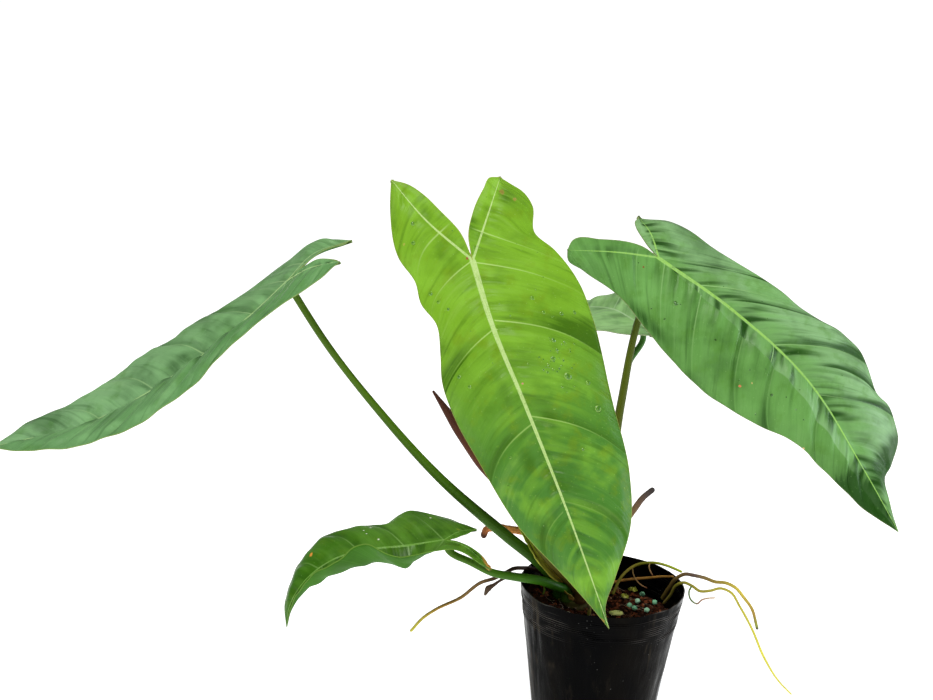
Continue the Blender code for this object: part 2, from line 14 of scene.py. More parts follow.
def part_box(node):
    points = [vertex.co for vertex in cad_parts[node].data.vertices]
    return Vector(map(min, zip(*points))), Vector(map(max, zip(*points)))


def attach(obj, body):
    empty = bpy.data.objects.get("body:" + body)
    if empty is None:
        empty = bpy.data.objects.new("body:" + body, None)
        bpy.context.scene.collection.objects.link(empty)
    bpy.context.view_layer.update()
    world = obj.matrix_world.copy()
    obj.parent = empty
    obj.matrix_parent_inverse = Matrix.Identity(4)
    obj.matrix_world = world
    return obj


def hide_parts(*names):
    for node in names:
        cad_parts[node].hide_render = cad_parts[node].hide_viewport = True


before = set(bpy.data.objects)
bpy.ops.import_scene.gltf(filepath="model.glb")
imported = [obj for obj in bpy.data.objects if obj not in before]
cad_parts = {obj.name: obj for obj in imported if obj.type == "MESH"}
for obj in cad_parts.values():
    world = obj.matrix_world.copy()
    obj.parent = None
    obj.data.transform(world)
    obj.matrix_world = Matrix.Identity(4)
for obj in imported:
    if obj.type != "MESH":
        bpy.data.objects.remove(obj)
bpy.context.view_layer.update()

# --- Camera ---------------------------------------------------------------------------
CAMERA_PLACE = (-0.10797, -1.23032, 0.63527)
CAMERA_TILT, CAMERA_ROLL = 74, 3  # degrees from straight down, and about its own axis
CAMERA_LENS, CAMERA_SENSOR = 70.0, 36.0  # mm
camera = bpy.data.objects.new("camera", bpy.data.cameras.new("camera"))
bpy.context.scene.collection.objects.link(camera)
camera.data.lens = CAMERA_LENS
camera.data.sensor_width = CAMERA_SENSOR
camera.matrix_world = (
    Matrix.Translation(CAMERA_PLACE)
    @ Matrix.Rotation(radians(CAMERA_TILT), 4, "X")
    @ Matrix.Rotation(radians(CAMERA_ROLL), 4, "Z")
)
bpy.context.scene.camera = camera

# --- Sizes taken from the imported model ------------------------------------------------
POT_LOW, POT_HIGH = (Vector(corner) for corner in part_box("nursery_pot"))
POT_RADIUS, POT_HEIGHT = (POT_HIGH.x - POT_LOW.x) / 2, POT_HIGH.z
POT_BASE_RADIUS = 0.044
POT_WALL = 0.0008
POT_CORNER = 0.003
DRAIN_RADIUS, DRAIN_CIRCLE, DRAIN_COUNT = 0.004, 0.028, 6
SOIL_DROP, SOIL_MOUND, SOIL_SIDE_GAP = 0.024, 0.012, 0.0006
STEM_LOW, STEM_HIGH = (Vector(corner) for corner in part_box("stem"))
STEM_RADIUS = (STEM_HIGH.x - STEM_LOW.x) / 2
CROWN = Vector(((STEM_LOW.x + STEM_HIGH.x) / 2, (STEM_LOW.y + STEM_HIGH.y) / 2, STEM_HIGH.z))
PETIOLE_BASE = 0.0044
CROWN_RING = 2.4 * PETIOLE_BASE
GAP = 0.0003
MIDRIB_THICKNESS = 0.0028
BLADE_THICKNESS = 0.0006
LOBE_ROWS, BLADE_ROWS, SIDE_COLUMNS, NOTCH_COLUMNS = 40, 144, 30, 12
EASE_ROWS = BLADE_ROWS * 4 / 18  # rows over which a half takes up its full rise
SIDE_MARGIN = 0.0008  # the soil's extra clearance from the creased wall

# The blades: joint from the crown, and outline points as fractions of the blade's length
# (along, across, above). Each lobe has a rib to its tip, a margin from there to the
# blade's tip, and a notch edge from there to the joint.
LEAVES = {
    "front": dict(
        joint=(-0.087, -0.028, 0.255), aim=(0.38, -0.36, -0.85), facing=(0.0, -0.92, 0.39), length=0.262,
        midrib=[(0.17, -0.01, 0.02), (0.4, 0.0, 0.03), (0.7, 0.01, 0.03)],
        ribs=([(-0.14, -0.08, 0.0), (-0.28, -0.13, -0.03)], [(-0.09, 0.07, 0.0), (-0.19, 0.145, -0.03)]),
        margins=(
            [
                (-0.2, -0.16, -0.03), (-0.07, -0.18, -0.02), (0.0, -0.16, -0.03), (0.06, -0.165, -0.02),
                (0.13, -0.145, -0.01), (0.2, -0.16, -0.03), (0.27, -0.18, -0.04), (0.38, -0.18, -0.03),
                (0.5, -0.16, -0.02), (0.69, -0.12, -0.02), (0.86, -0.047, -0.02), (0.95, -0.011, -0.01),
            ],
            [
                (-0.167, 0.164, -0.035), (-0.135, 0.19, -0.04), (-0.09, 0.2, -0.03), (-0.02, 0.18, -0.02),
                (0.04, 0.215, -0.03), (0.14, 0.248, -0.045), (0.25, 0.25, -0.05), (0.46, 0.225, -0.05),
                (0.64, 0.205, -0.04), (0.78, 0.16, -0.03), (0.9, 0.07, -0.01), (0.965, 0.02, -0.005),
            ],
        ),
        tip=(1.015, 0.012, 0.0),
        notches=(
            [(-0.25, -0.09, -0.02), (-0.205, -0.06, -0.01), (-0.165, -0.042, 0.0), (-0.07, -0.006, 0.02)],
            [(-0.199, 0.118, -0.03), (-0.175, 0.092, -0.02), (-0.13, 0.05, 0.0), (-0.06, 0.01, 0.02)],
        ),
        cup=(0.06, 0.06),
    ),
    "right": dict(
        joint=(0.043, 0.002, 0.257), aim=(0.7, -0.15, -0.7), facing=(0.33, -0.8, 0.5), length=0.259,
        midrib=[(0.21, 0.03, 0.05), (0.5, 0.05, 0.08), (0.8, 0.03, 0.03)],
        ribs=([(-0.09, -0.09, 0.0), (-0.18, -0.18, -0.03)], [(-0.06, 0.03, 0.0), (-0.11, 0.06, -0.04)]),
        margins=(
            [
                (-0.158, -0.191, -0.045), (-0.11, -0.176, -0.05), (0.0, -0.155, -0.03),
                (0.13, -0.165, -0.02), (0.3, -0.17, -0.01), (0.47, -0.14, 0.02), (0.61, -0.08, 0.03),
                (0.72, -0.055, 0.01), (0.88, -0.03, -0.01),
            ],
            [
                (-0.093, 0.078, -0.04), (-0.05, 0.12, -0.03), (0.1, 0.15, 0.01), (0.26, 0.195, 0.03),
                (0.4, 0.22, 0.045), (0.5, 0.265, 0.03), (0.56, 0.275, 0.03), (0.61, 0.245, 0.05),
                (0.67, 0.21, 0.05), (0.74, 0.232, 0.02), (0.82, 0.2, 0.0), (0.865, 0.14, -0.02),
                (0.87, 0.075, 0.01), (0.93, 0.03, 0.01),
            ],
        ),
        notches=(
            [(-0.191, -0.157, -0.02), (-0.145, -0.1, 0.0), (-0.06, -0.03, 0.02)],
            [(-0.114, 0.038, -0.03), (-0.08, 0.01, -0.01), (-0.04, -0.002, 0.0)],
        ),
        cup=(0.06, 0.06),
    ),
    "left": dict(
        joint=(-0.215, -0.018, 0.231), aim=(-0.85, -0.13, -0.52), facing=(-0.5, -0.16, 0.85),
        length=0.237, midrib=[(0.11, 0.0, -0.03), (0.39, 0.0, -0.08), (0.7, 0.0, -0.085)],
        ribs=([(-0.1, -0.07, 0.01), (-0.22, -0.13, -0.03)], [(-0.08, 0.06, 0.02), (-0.17, 0.11, 0.01)]),
        margins=(
            [
                (-0.15, -0.17, 0.0), (-0.02, -0.2, -0.01), (0.12, -0.2, -0.03), (0.37, -0.22, -0.05),
                (0.54, -0.225, -0.06), (0.72, -0.17, -0.06), (0.87, -0.09, -0.02),
            ],
            [
                (-0.1, 0.16, 0.01), (0.0, 0.18, 0.01), (0.2, 0.155, -0.03), (0.38, 0.2, -0.07),
                (0.58, 0.22, -0.08), (0.74, 0.165, -0.07), (0.9, 0.085, -0.03),
            ],
        ),
        notches=([(-0.15, -0.08, 0.0), (-0.07, -0.03, 0.01)], [(-0.12, 0.06, 0.03), (-0.05, 0.02, 0.02)]),
        cup=(0.05, 0.05),
    ),
    "low": dict(
        joint=(-0.097, -0.043, 0.055), aim=(-0.88, -0.16, -0.45), facing=(-0.44, -0.14, 0.89),
        length=0.122,
        midrib=[
            (0.2, 0.0, 0.07), (0.4, 0.0, 0.15), (0.62, 0.0, 0.195), (0.84, 0.0, 0.14), (0.97, 0.0, 0.04),
        ],
        tip=(1.04, 0.0, -0.07),
        ribs=([(-0.09, -0.07, -0.03), (-0.2, -0.14, -0.1)], [(-0.07, 0.06, -0.03), (-0.18, 0.12, -0.24)]),
        margins=(
            [
                (-0.12, -0.24, -0.06), (0.0, -0.32, 0.02), (0.12, -0.34, 0.1), (0.28, -0.33, 0.1),
                (0.48, -0.32, 0.18), (0.68, -0.28, 0.21), (0.84, -0.19, 0.16), (0.95, -0.1, 0.09),
                (1.01, -0.04, 0.01),
            ],
            [
                (-0.14, 0.17, -0.16), (-0.06, 0.16, -0.02), (0.1, 0.22, 0.09), (0.28, 0.27, 0.18),
                (0.4, 0.24, 0.32), (0.58, 0.22, 0.29), (0.76, 0.16, 0.24), (0.9, 0.07, 0.12),
                (1.0, 0.02, 0.0),
            ],
        ),
        notches=(
            [(-0.13, -0.08, -0.07), (-0.06, -0.02, -0.03)], [(-0.14, 0.09, -0.1), (-0.06, 0.03, -0.02)],
        ),
        cup=(0.1, -0.4),
    ),
    "back": dict(
        joint=(0.04, 0.062, 0.192), aim=(-0.73, 0.66, -0.17), facing=(-0.3, -0.08, 0.95), length=0.136,
        midrib=[(0.16, 0.0, 0.08), (0.35, 0.0, 0.09), (0.65, 0.0, 0.07)],
        ribs=([(-0.09, -0.08, 0.02), (-0.2, -0.15, -0.02)], [(-0.09, 0.08, 0.02), (-0.2, 0.16, 0.02)]),
        margins=(
            [
                (-0.12, -0.24, 0.02), (0.0, -0.29, 0.06), (0.18, -0.31, 0.08), (0.4, -0.29, 0.02),
                (0.62, -0.22, -0.01), (0.84, -0.11, 0.0),
            ],
            [
                (-0.12, 0.25, 0.06), (0.0, 0.3, 0.1), (0.18, 0.32, 0.1), (0.4, 0.3, 0.08),
                (0.62, 0.23, 0.05), (0.84, 0.12, 0.02),
            ],
        ),
        notches=([(-0.15, -0.09, 0.01), (-0.07, -0.03, 0.02)], [(-0.15, 0.1, 0.02), (-0.07, 0.03, 0.02)]),
        cup=(0.08, 0.08),
    ),
}

# What each blade's surface shows. Halves are 0 and 1, lengths are fractions of the blade's.
# laterals: where each half's main side veins leave the midrib, and how pale each is; sweep:
# how far each half's veins run towards the tip before the margin; base, tip and fade: the
# colour at both ends and where it turns, partly painted light and shade (the front blade
# lighter at its base, the right blade's tip darkened as painted shade where it turns down,
# the left and back blades paler and greyer as a painted sheen); deep, olive, vein, rib,
# margin and under: the colours of painted shade in hollows and folds (also of darker
# mottling and vein bands), blotches, veins, midrib, edge and underside, the underside a
# darker green that is painted shade; pucker: how much painted shade darkens the dents
# beside the midrib; wash: (half, colour, amount) laid over one half, a painted sheen on the
# right blade's far half; rib_width, relief and wave: the midrib's width and the height of
# the valleys and of the margin's waves, in mm; shelves: where a half drops to a side vein,
# as (half, vein, reach in mm, start and end of the drop across the half, depth), in the
# shape and as painted shade below the drop; folds: creases in the shape that also carry
# painted shade and highlight, as (along, across, reach along, reach across, depth), painted
# shade above 0 and painted highlight below 0; spots: (along, across, radius in mm, colour),
# the near-white ones on the low blade painted glints.
LOOKS = {
    "front": dict(
        laterals=(
            [(-0.1, 0.7), (0.0, 0.8), (0.19, 0.8), (0.45, 0.5), (0.68, 0.2)],
            [(-0.09, 0.8), (0.005, 0.9), (0.165, 0.9), (0.43, 0.6), (0.66, 0.2)],
        ),
        # base lighter than tip: partly the blade's own colour, partly painted light where it faces the
        # light
        sweep=(0.1, 0.12), base=(0.172, 0.37, 0.02), tip=(0.062, 0.195, 0.026), fade=(0.1, 0.62),
        deep=(0.036, 0.11, 0.003), vein=(0.38, 0.58, 0.16), rib=(0.5, 0.66, 0.27),
        margin=(0.36, 0.42, 0.08), olive=(0.15, 0.25, 0.006), under=(0.09, 0.22, 0.03), pucker=0.28,
        wash=[], rib_width=4.6, relief=2.6, wave=1.1,
        shelves=[
            (1, 0.165, 10.5, 0.22, 0.8, 1.3), (0, 0.2, 8.0, 0.15, 0.8, 1.0),
            (1, 0.43, 6.0, 0.0, 0.2, 0.5), (0, 0.45, 6.0, 0.05, 0.5, 0.7), (1, 0.0, 5.0, 0.1, 0.6, 0.35),
            (0, 0.68, 6.0, 0.0, 0.4, 0.5), (1, 0.66, 7.0, 0.0, 0.4, 0.35),
        ],
        folds=[
            (-0.11, 0.165, 0.07, 0.05, 0.4), (-0.1, 0.02, 0.05, 0.035, 0.8),
            (-0.14, 0.14, 0.03, 0.02, 0.4), (-0.16, -0.075, 0.05, 0.02, 0.55),
            (0.38, 0.05, 0.05, 0.025, 0.5), (0.36, -0.04, 0.05, 0.02, 0.5), (0.52, 0.05, 0.08, 0.02, 0.4),
            (0.55, -0.04, 0.05, 0.02, 0.6), (0.28, 0.22, 0.06, 0.03, 0.6), (0.3, 0.12, 0.06, 0.06, -0.5),
            (0.05, -0.09, 0.05, 0.05, -0.6), (0.06, 0.13, 0.03, 0.06, -0.6),
            (0.3, -0.1, 0.05, 0.04, -0.4), (0.75, -0.07, 0.18, 0.02, 0.5),
        ],
        spots=[
            (0.35, 0.012, 0.9, (0.62, 0.22, 0.2)), (-0.01, -0.012, 1.0, (0.3, 0.06, 0.04)),
            (0.585, -0.11, 0.7, (0.03, 0.03, 0.01)), (0.69, 0.13, 0.7, (0.03, 0.03, 0.01)),
            (-0.15, 0.135, 2.2, (0.26, 0.2, 0.04)), (-0.12, 0.16, 1.6, (0.3, 0.24, 0.05)),
            (-0.1, -0.155, 1.0, (0.35, 0.36, 0.06)), (0.99, 0.0, 2.6, (0.3, 0.2, 0.04)),
        ],
    ),
    "right": dict(
        laterals=(
            [(-0.07, 0.3), (0.02, 0.5), (0.14, 0.6), (0.29, 0.3), (0.4, 0.3), (0.58, 0.2), (0.74, 0.1)],
            [(-0.05, 0.6), (0.0, 0.4), (0.13, 0.9), (0.38, 0.7), (0.56, 0.4), (0.72, 0.2)],
        ),
        # the very dark tip is painted shade where the blade turns down
        sweep=(0.1, 0.1), base=(0.112, 0.28, 0.062), tip=(0.012, 0.065, 0.003), fade=(0.62, 1.02),
        deep=(0.01, 0.055, 0.003), vein=(0.28, 0.5, 0.18), rib=(0.3, 0.58, 0.1), margin=(0.25, 0.3, 0.12),
        olive=(0.075, 0.21, 0.02), under=(0.07, 0.19, 0.035), pucker=0.95,
        # wash: a painted sheen, paler and greyer, over the far half
        wash=[(1, (0.27, 0.47, 0.225), 0.7)], rib_width=3.6, relief=3.2, wave=1.2,
        shelves=[
            (1, 0.02, 4.0, 0.05, 0.35, 1.2), (1, 0.2, 5.0, -0.1, 0.35, 1.0),
            (1, 0.38, 7.0, -0.1, 0.45, 1.2), (1, 0.46, 5.0, 0.0, 0.55, 1.1),
            (1, 0.56, 5.0, 0.1, 0.7, 1.0), (0, 0.29, 4.0, 0.0, 0.6, 0.7), (0, 0.4, 6.0, 0.1, 0.9, 0.8),
            (0, 0.14, 4.0, 0.0, 0.5, 0.4), (0, 0.58, 7.0, 0.1, 0.8, 0.5),
        ],
        folds=[
            (0.88, -0.01, 0.09, 0.05, 1.7), (0.85, 0.13, 0.05, 0.11, 1.9), (0.8, -0.05, 0.03, 0.04, 1.2),
            (0.1, -0.15, 0.1, 0.02, 0.8), (0.17, 0.12, 0.04, 0.05, -0.5), (0.48, 0.17, 0.05, 0.06, -0.4),
            (0.55, -0.05, 0.1, 0.04, -0.6), (0.68, 0.12, 0.05, 0.05, -0.5), (0.3, -0.1, 0.1, 0.05, -0.35),
        ],
        spots=[
            (-0.01, -0.055, 0.9, (0.2, 0.05, 0.02)), (0.395, -0.1, 0.8, (0.65, 0.2, 0.1)),
            (0.41, -0.075, 0.7, (0.55, 0.42, 0.15)), (0.64, -0.07, 1.1, (0.75, 0.5, 0.25)),
            (0.26, -0.065, 0.6, (0.02, 0.05, 0.01)), (0.5, -0.035, 0.5, (0.02, 0.04, 0.01)),
        ],
    ),
    "left": dict(
        laterals=(
            [(-0.08, 0.5), (0.0, 0.5), (0.14, 0.6), (0.32, 0.5), (0.5, 0.4), (0.68, 0.3)],
            [(-0.07, 0.5), (0.0, 0.5), (0.13, 0.6), (0.3, 0.5), (0.48, 0.4), (0.66, 0.3)],
        ),
        # base and tip paler and greyer than the blade's own green: a painted sheen
        sweep=(0.11, 0.11), base=(0.165, 0.345, 0.135), tip=(0.215, 0.415, 0.19), fade=(0.1, 0.9),
        deep=(0.012, 0.06, 0.006), vein=(0.4, 0.62, 0.28), rib=(0.44, 0.66, 0.26),
        margin=(0.28, 0.38, 0.12), olive=(0.085, 0.23, 0.045), under=(0.06, 0.16, 0.03), pucker=0.7,
        wash=[(1, (0.09, 0.245, 0.07), 0.65)], rib_width=3.2, relief=2.8, wave=1.0,
        shelves=[
            (0, 0.14, 5.0, 0.0, 0.5, 0.7), (0, 0.32, 6.0, 0.0, 0.6, 0.6), (1, 0.13, 5.0, 0.0, 0.5, 0.6),
            (1, 0.48, 6.0, 0.0, 0.6, 0.4), (0, 0.68, 6.0, 0.0, 0.7, 0.4),
        ],
        folds=[
            (0.03, 0.03, 0.03, 0.02, 0.6), (0.22, -0.05, 0.07, 0.03, 0.5), (0.4, -0.04, 0.06, 0.03, 0.5),
            (0.15, 0.05, 0.06, 0.03, 0.5), (0.3, -0.12, 0.1, 0.05, -0.4), (0.6, -0.1, 0.12, 0.05, -0.3),
        ],
        spots=[],
    ),
    "low": dict(
        laterals=(
            [(0.0, 0.4), (0.2, 0.5), (0.42, 0.4), (0.64, 0.3)],
            [(0.0, 0.4), (0.18, 0.5), (0.4, 0.4), (0.62, 0.3)],
        ),
        sweep=(0.1, 0.12), base=(0.082, 0.215, 0.018), tip=(0.042, 0.145, 0.006), fade=(0.1, 0.8),
        deep=(0.01, 0.055, 0.003), vein=(0.26, 0.46, 0.13), rib=(0.16, 0.36, 0.05),
        margin=(0.15, 0.28, 0.04), olive=(0.09, 0.2, 0.01), under=(0.034, 0.14, 0.003), pucker=0.5,
        wash=[], rib_width=1.8, relief=1.6, wave=0.9,
        shelves=[
            (0, 0.2, 3.0, 0.0, 0.6, 0.8), (0, 0.42, 4.0, 0.0, 0.7, 0.7), (1, 0.18, 3.0, 0.0, 0.6, 0.7),
            (1, 0.4, 4.0, 0.0, 0.7, 0.8), (1, 0.62, 4.0, 0.0, 0.7, 0.7),
        ],
        folds=[
            (0.06, -0.05, 0.05, 0.03, 0.6), (0.3, 0.05, 0.12, 0.03, 0.7), (0.5, -0.06, 0.12, 0.04, 0.4),
            (0.35, -0.16, 0.12, 0.06, -0.4),
        ],
        spots=[
            (0.73, -0.12, 1.9, (0.8, 0.3, 0.05)), (-0.17, 0.115, 2.4, (0.6, 0.28, 0.06)),
            # the near-white spots are painted glints on the wavy far half
            (0.36, -0.2, 0.9, (0.9, 0.92, 0.82)), (0.39, -0.12, 0.8, (0.9, 0.92, 0.82)),
            (0.34, -0.06, 0.9, (0.86, 0.88, 0.72)), (0.4, -0.16, 0.7, (0.9, 0.92, 0.82)),
            (0.02, -0.26, 0.7, (0.8, 0.84, 0.66)), (-0.1, -0.1, 1.6, (0.2, 0.3, 0.03)),
        ],
    ),
    "back": dict(
        laterals=(
            [(0.0, 0.4), (0.18, 0.6), (0.4, 0.4), (0.62, 0.3)],
            [(0.0, 0.4), (0.18, 0.6), (0.4, 0.4), (0.62, 0.3)],
        ),
        # base and tip paler and greyer than the blade's own green: a painted sheen
        sweep=(0.11, 0.11), base=(0.3, 0.53, 0.21), tip=(0.28, 0.5, 0.2), fade=(0.1, 0.9),
        deep=(0.03, 0.095, 0.024), vein=(0.32, 0.5, 0.26), rib=(0.4, 0.58, 0.32),
        margin=(0.5, 0.58, 0.34), olive=(0.2, 0.4, 0.12), under=(0.03, 0.09, 0.018), pucker=0.4, wash=[],
        rib_width=2.0, relief=1.3, wave=0.6, shelves=[(0, 0.18, 4.0, 0.0, 0.6, 0.5)],
        folds=[(0.2, -0.06, 0.08, 0.04, 0.4), (0.4, 0.1, 0.1, 0.05, -0.3)],
        spots=[(0.02, -0.2, 1.6, (0.6, 0.3, 0.06))],
    ),
}

# Water drops on a blade: (along, across, radius in mm), in fractions of the length.
DROPS = {
    "front": [
        (0.144, 0.112, 1.5), (0.207, 0.173, 1.3), (0.194, 0.132, 1.2), (0.212, 0.205, 1.2),
        (0.268, 0.127, 1.6), (0.37, 0.131, 2.6), (0.399, 0.18, 1.6), (0.475, 0.181, 2.4),
        (0.315, 0.106, 1.7), (0.3, 0.125, 1.1), (0.332, 0.092, 1.0), (0.325, 0.135, 0.9),
        (0.345, 0.115, 0.8), (0.049, -0.13, 1.3), (0.077, -0.12, 1.2), (0.102, -0.105, 1.0),
        (0.278, -0.135, 1.4), (0.31, -0.12, 1.2), (-0.141, -0.115, 1.5), (-0.096, -0.13, 1.3),
        (0.52, -0.08, 0.9), (0.56, 0.1, 0.9), (0.44, 0.07, 0.7),
    ],
    "right": [(0.12, -0.065, 1.6), (0.13, -0.11, 0.8), (0.47, -0.055, 1.0)],
}

# Petioles: angle of the foot on the crown, its radius as a share of the thickest, top
# radius, and the points between foot and blade, from the foot.
PETIOLES = {
    "front": (
        295, 1.0, 0.0024,
        [
            (-0.009, -0.006, 0.018), (-0.025, -0.006, 0.034), (-0.045, 0.0, 0.064),
            (-0.062, 0.004, 0.118), (-0.082, 0.002, 0.2),
        ],
    ),
    "right": (
        0, 0.92, 0.0021,
        [(0.006, 0.0, 0.04), (0.014, 0.0, 0.15), (0.021, 0.001, 0.208), (0.028, 0.0, 0.237)],
    ),
    "left": (
        190, 1.0, 0.0021,
        [
            (-0.014, -0.002, 0.023), (-0.041, -0.004, 0.045), (-0.09, -0.008, 0.087),
            (-0.137, -0.012, 0.138), (-0.176, -0.015, 0.187),
        ],
    ),
    "low": (
        240, 0.86, 0.0021,
        [
            (-0.007, -0.013, 0.014), (-0.021, -0.021, 0.022), (-0.04, -0.028, 0.027),
            (-0.056, -0.032, 0.031), (-0.072, -0.034, 0.039),
        ],
    ),
    "back": (
        55, 0.88, 0.0019,
        [(0.011, 0.012, 0.021), (0.015, 0.018, 0.065), (0.022, 0.036, 0.126), (0.027, 0.046, 0.164)],
    ),
}

# Colours along a stalk or a root: (share of its length, colour).
OLIVE_BROWN, DEEP_GREEN, MID_GREEN = (0.074, 0.092, 0.004), (0.032, 0.102, 0.003), (0.095, 0.195, 0.008)
PETIOLE_TONES = {
    "front": [
        (0.0, (0.1, 0.045, 0.015)), (0.12, (0.16, 0.12, 0.02)), (0.3, DEEP_GREEN), (1.0, MID_GREEN),
    ],
    "right": [
        (0.0, (0.06, 0.06, 0.012)), (0.25, DEEP_GREEN), (0.5, OLIVE_BROWN), (1.0, (0.085, 0.13, 0.008)),
    ],
    "left": [
        (0.0, (0.02, 0.075, 0.008)), (0.12, DEEP_GREEN), (0.6, (0.055, 0.128, 0.004)),
        (1.0, (0.075, 0.155, 0.006)),
    ],
    "low": [(0.0, (0.05, 0.1, 0.01)), (0.15, (0.022, 0.11, 0.004)), (1.0, (0.06, 0.145, 0.006))],
    "back": [(0.0, DEEP_GREEN), (1.0, (0.06, 0.17, 0.03))],
}

# Roots over the rim: (angle about the pot's axis, reach from the outer wall, rise above
# the rim), the solid's radii at both ends, the slot and the colours along it.
DARK_BARK, OCHRE, YELLOW, OLIVE = (0.045, 0.022, 0.016), (0.4, 0.24, 0.045), (0.64, 0.6, 0.07), (0.2, 0.18,
                                                                                                 0.02)
ROOTS = {
    "root_orange": (
        [
            (86, -0.028, -0.014), (62, -0.0132, -0.0125), (45, -0.0057, -0.009), (32, -0.0042, -0.004),
            (24, -0.0039, -0.001), (19, -0.0035, 0.001),
        ],
        0.0013, 0.001, "root_orange",
        [(0.0, (0.4, 0.17, 0.04)), (0.6, (0.44, 0.22, 0.05)), (1.0, (0.3, 0.15, 0.03))],
    ),
    "root_yellow": (
        [
            (66, -0.0314, -0.018), (62, -0.0211, -0.0065), (56, -0.0099, -0.001), (42, -0.006, 0.004),
            (31, -0.0035, 0.0055), (23, -0.0005, 0.0055), (19, 0.003, 0.0045),
        ],
        0.0014, 0.0011, "root_yellow",
        [
            (0.0, OLIVE), (0.35, (0.3, 0.24, 0.03)), (0.6, (0.24, 0.26, 0.02)), (0.85, (0.42, 0.5, 0.03)),
            (1.0, (0.36, 0.44, 0.03)),
        ],
    ),
    "root_long": (
        [
            (20, -0.0055, -0.0205), (13, -0.0046, -0.0105), (8, -0.0045, -0.002), (2, 0.0003, 0.0036),
            (-1, 0.006, 0.0025), (-3, 0.011, 0.0002), (-4, 0.0186, 0.0015), (-4, 0.026, 0.004),
            (-5, 0.033, 0.0025), (-6, 0.041, -0.0078), (-5, 0.0513, -0.025), (-5, 0.0621, -0.0467),
            (-4, 0.0766, -0.0677), (-4, 0.0848, -0.0753),
        ],
        0.0013, 0.001, "root_yellow",
        [
            (0.0, (0.16, 0.12, 0.03)), (0.15, (0.26, 0.24, 0.03)), (0.3, (0.34, 0.3, 0.04)),
            (0.5, (0.5, 0.45, 0.05)), (0.75, YELLOW), (1.0, (0.7, 0.64, 0.12)),
        ],
    ),
    "root_thick": (
        [
            (26, -0.004, -0.019), (17, -0.0051, -0.006), (11, -0.0034, 0.0034), (8, 0.0018, 0.0076),
            (5, 0.007, 0.0082), (3, 0.0154, 0.0073), (1, 0.0225, 0.0058), (-1, 0.03, 0.0066),
            (-2, 0.0365, 0.0044), (-2, 0.044, -0.0035), (-2, 0.05, -0.011), (-3, 0.0555, -0.026),
        ],
        0.0018, 0.0012, "root_brown",
        [
            (0.0, (0.14, 0.1, 0.02)), (0.28, (0.16, 0.1, 0.03)), (0.38, (0.1, 0.065, 0.055)),
            (0.5, (0.3, 0.21, 0.05)), (0.7, (0.56, 0.46, 0.06)), (0.9, (0.4, 0.26, 0.05)),
            (0.98, (0.3, 0.34, 0.06)), (1.0, (0.1, 0.11, 0.07)),
        ],
    ),
    "root_left": (
        [
            (145, -0.0091, -0.006), (158, -0.005, 0.0005), (168, -0.001, 0.0042), (175, 0.005, 0.0062),
            (181, 0.01, 0.0062), (182, 0.019, 0.0012), (183, 0.028, -0.0015), (183, 0.043, -0.0143),
            (184, 0.0606, -0.0231), (184, 0.07, -0.0304), (184, 0.078, -0.0405),
        ],
        0.0019, 0.0012, "root_brown",
        [
            (0.0, DARK_BARK), (0.35, (0.06, 0.035, 0.025)), (0.6, (0.2, 0.12, 0.04)), (0.8, OCHRE),
            (1.0, YELLOW),
        ],
    ),
    "root_hooked": (
        [
            (-2, 0.005, 0.0026), (-6, 0.0034, 0.0), (-7, 0.005, -0.005), (-7, 0.01, -0.0079),
            (-7, 0.0132, -0.0045), (-7, 0.0166, -0.003), (-7, 0.022, -0.002),
        ],
        0.0008, 0.0006, "root_orange",
        [
            (0.0, (0.1, 0.19, 0.04)), (0.45, (0.12, 0.18, 0.05)), (0.6, (0.26, 0.12, 0.08)),
            (1.0, (0.58, 0.4, 0.22)),
        ],
    ),
    "root_shrivelled": (
        [
            (186, 0.0115, 0.004), (186, 0.015, 0.002), (186, 0.0195, -0.0015), (186, 0.0235, -0.0045),
            (186, 0.0255, -0.009),
        ],
        0.0016, 0.001, "root_brown", [(0.0, DARK_BARK), (1.0, (0.08, 0.05, 0.03))],
    ),
}
UPRIGHT_ROOT = [
    (0.004, 0.002, 0.006), (0.007, 0.002, 0.028), (0.016, 0.002, 0.05), (0.025, 0.002, 0.068),
    (0.031, 0.002, 0.078), (0.037, 0.002, 0.084),
]


# --- Shape helpers --------------------------------------------------------------------
def pot_wall(z):
    """Outer radius of the pot at a height."""
    return POT_BASE_RADIUS + (POT_RADIUS - POT_BASE_RADIUS) * z / POT_HEIGHT


def soil_height(x, y):
    """Top of the soil: level at +X and rising in a soft mound towards -X."""
    inner = pot_wall(POT_HEIGHT - SOIL_DROP)
    t = min(max((0.35 - x / inner) / 1.3, 0.0), 1.0)
    ripple = 0.0008 * sin(140 * x + 1.0) * cos(110 * y)
    return POT_HEIGHT - SOIL_DROP + SOIL_MOUND * (3 - 2 * t) * t * t + ripple


def smooth(points, count):
    """count points, evenly spaced along a smooth curve through the given ones."""
    points = np.array(points, float)
    steps = np.linalg.norm(np.diff(points, axis=0), axis=1)
    place = np.concatenate([[0.0], np.cumsum(steps)])
    slope = np.gradient(points, place, axis=0)
    found = []
    for s in np.linspace(0.0, place[-1], count):
        i = min(int(np.searchsorted(place, s, side="right")) - 1, len(steps) - 1)
        h = place[i + 1] - place[i]
        t = (s - place[i]) / h
        found.append(
            (1 + 2 * t) * (1 - t) ** 2 * points[i] + t * (1 - t) ** 2 * h * slope[i]
            + t * t * (3 - 2 * t) * points[i + 1] - t * t * (1 - t) * h * slope[i + 1]
        )
    return np.array(found)


def wander(x, y=0.0, z=0.0):
    """Smooth noise from -1 to 1."""
    return noise.noise(Vector((x, y, z)))


def step(value, low, high):
    """A soft step from 0 at low to 1 at high."""
    t = np.clip((value - low) / (high - low), 0.0, 1.0)
    return t * t * (3 - 2 * t)


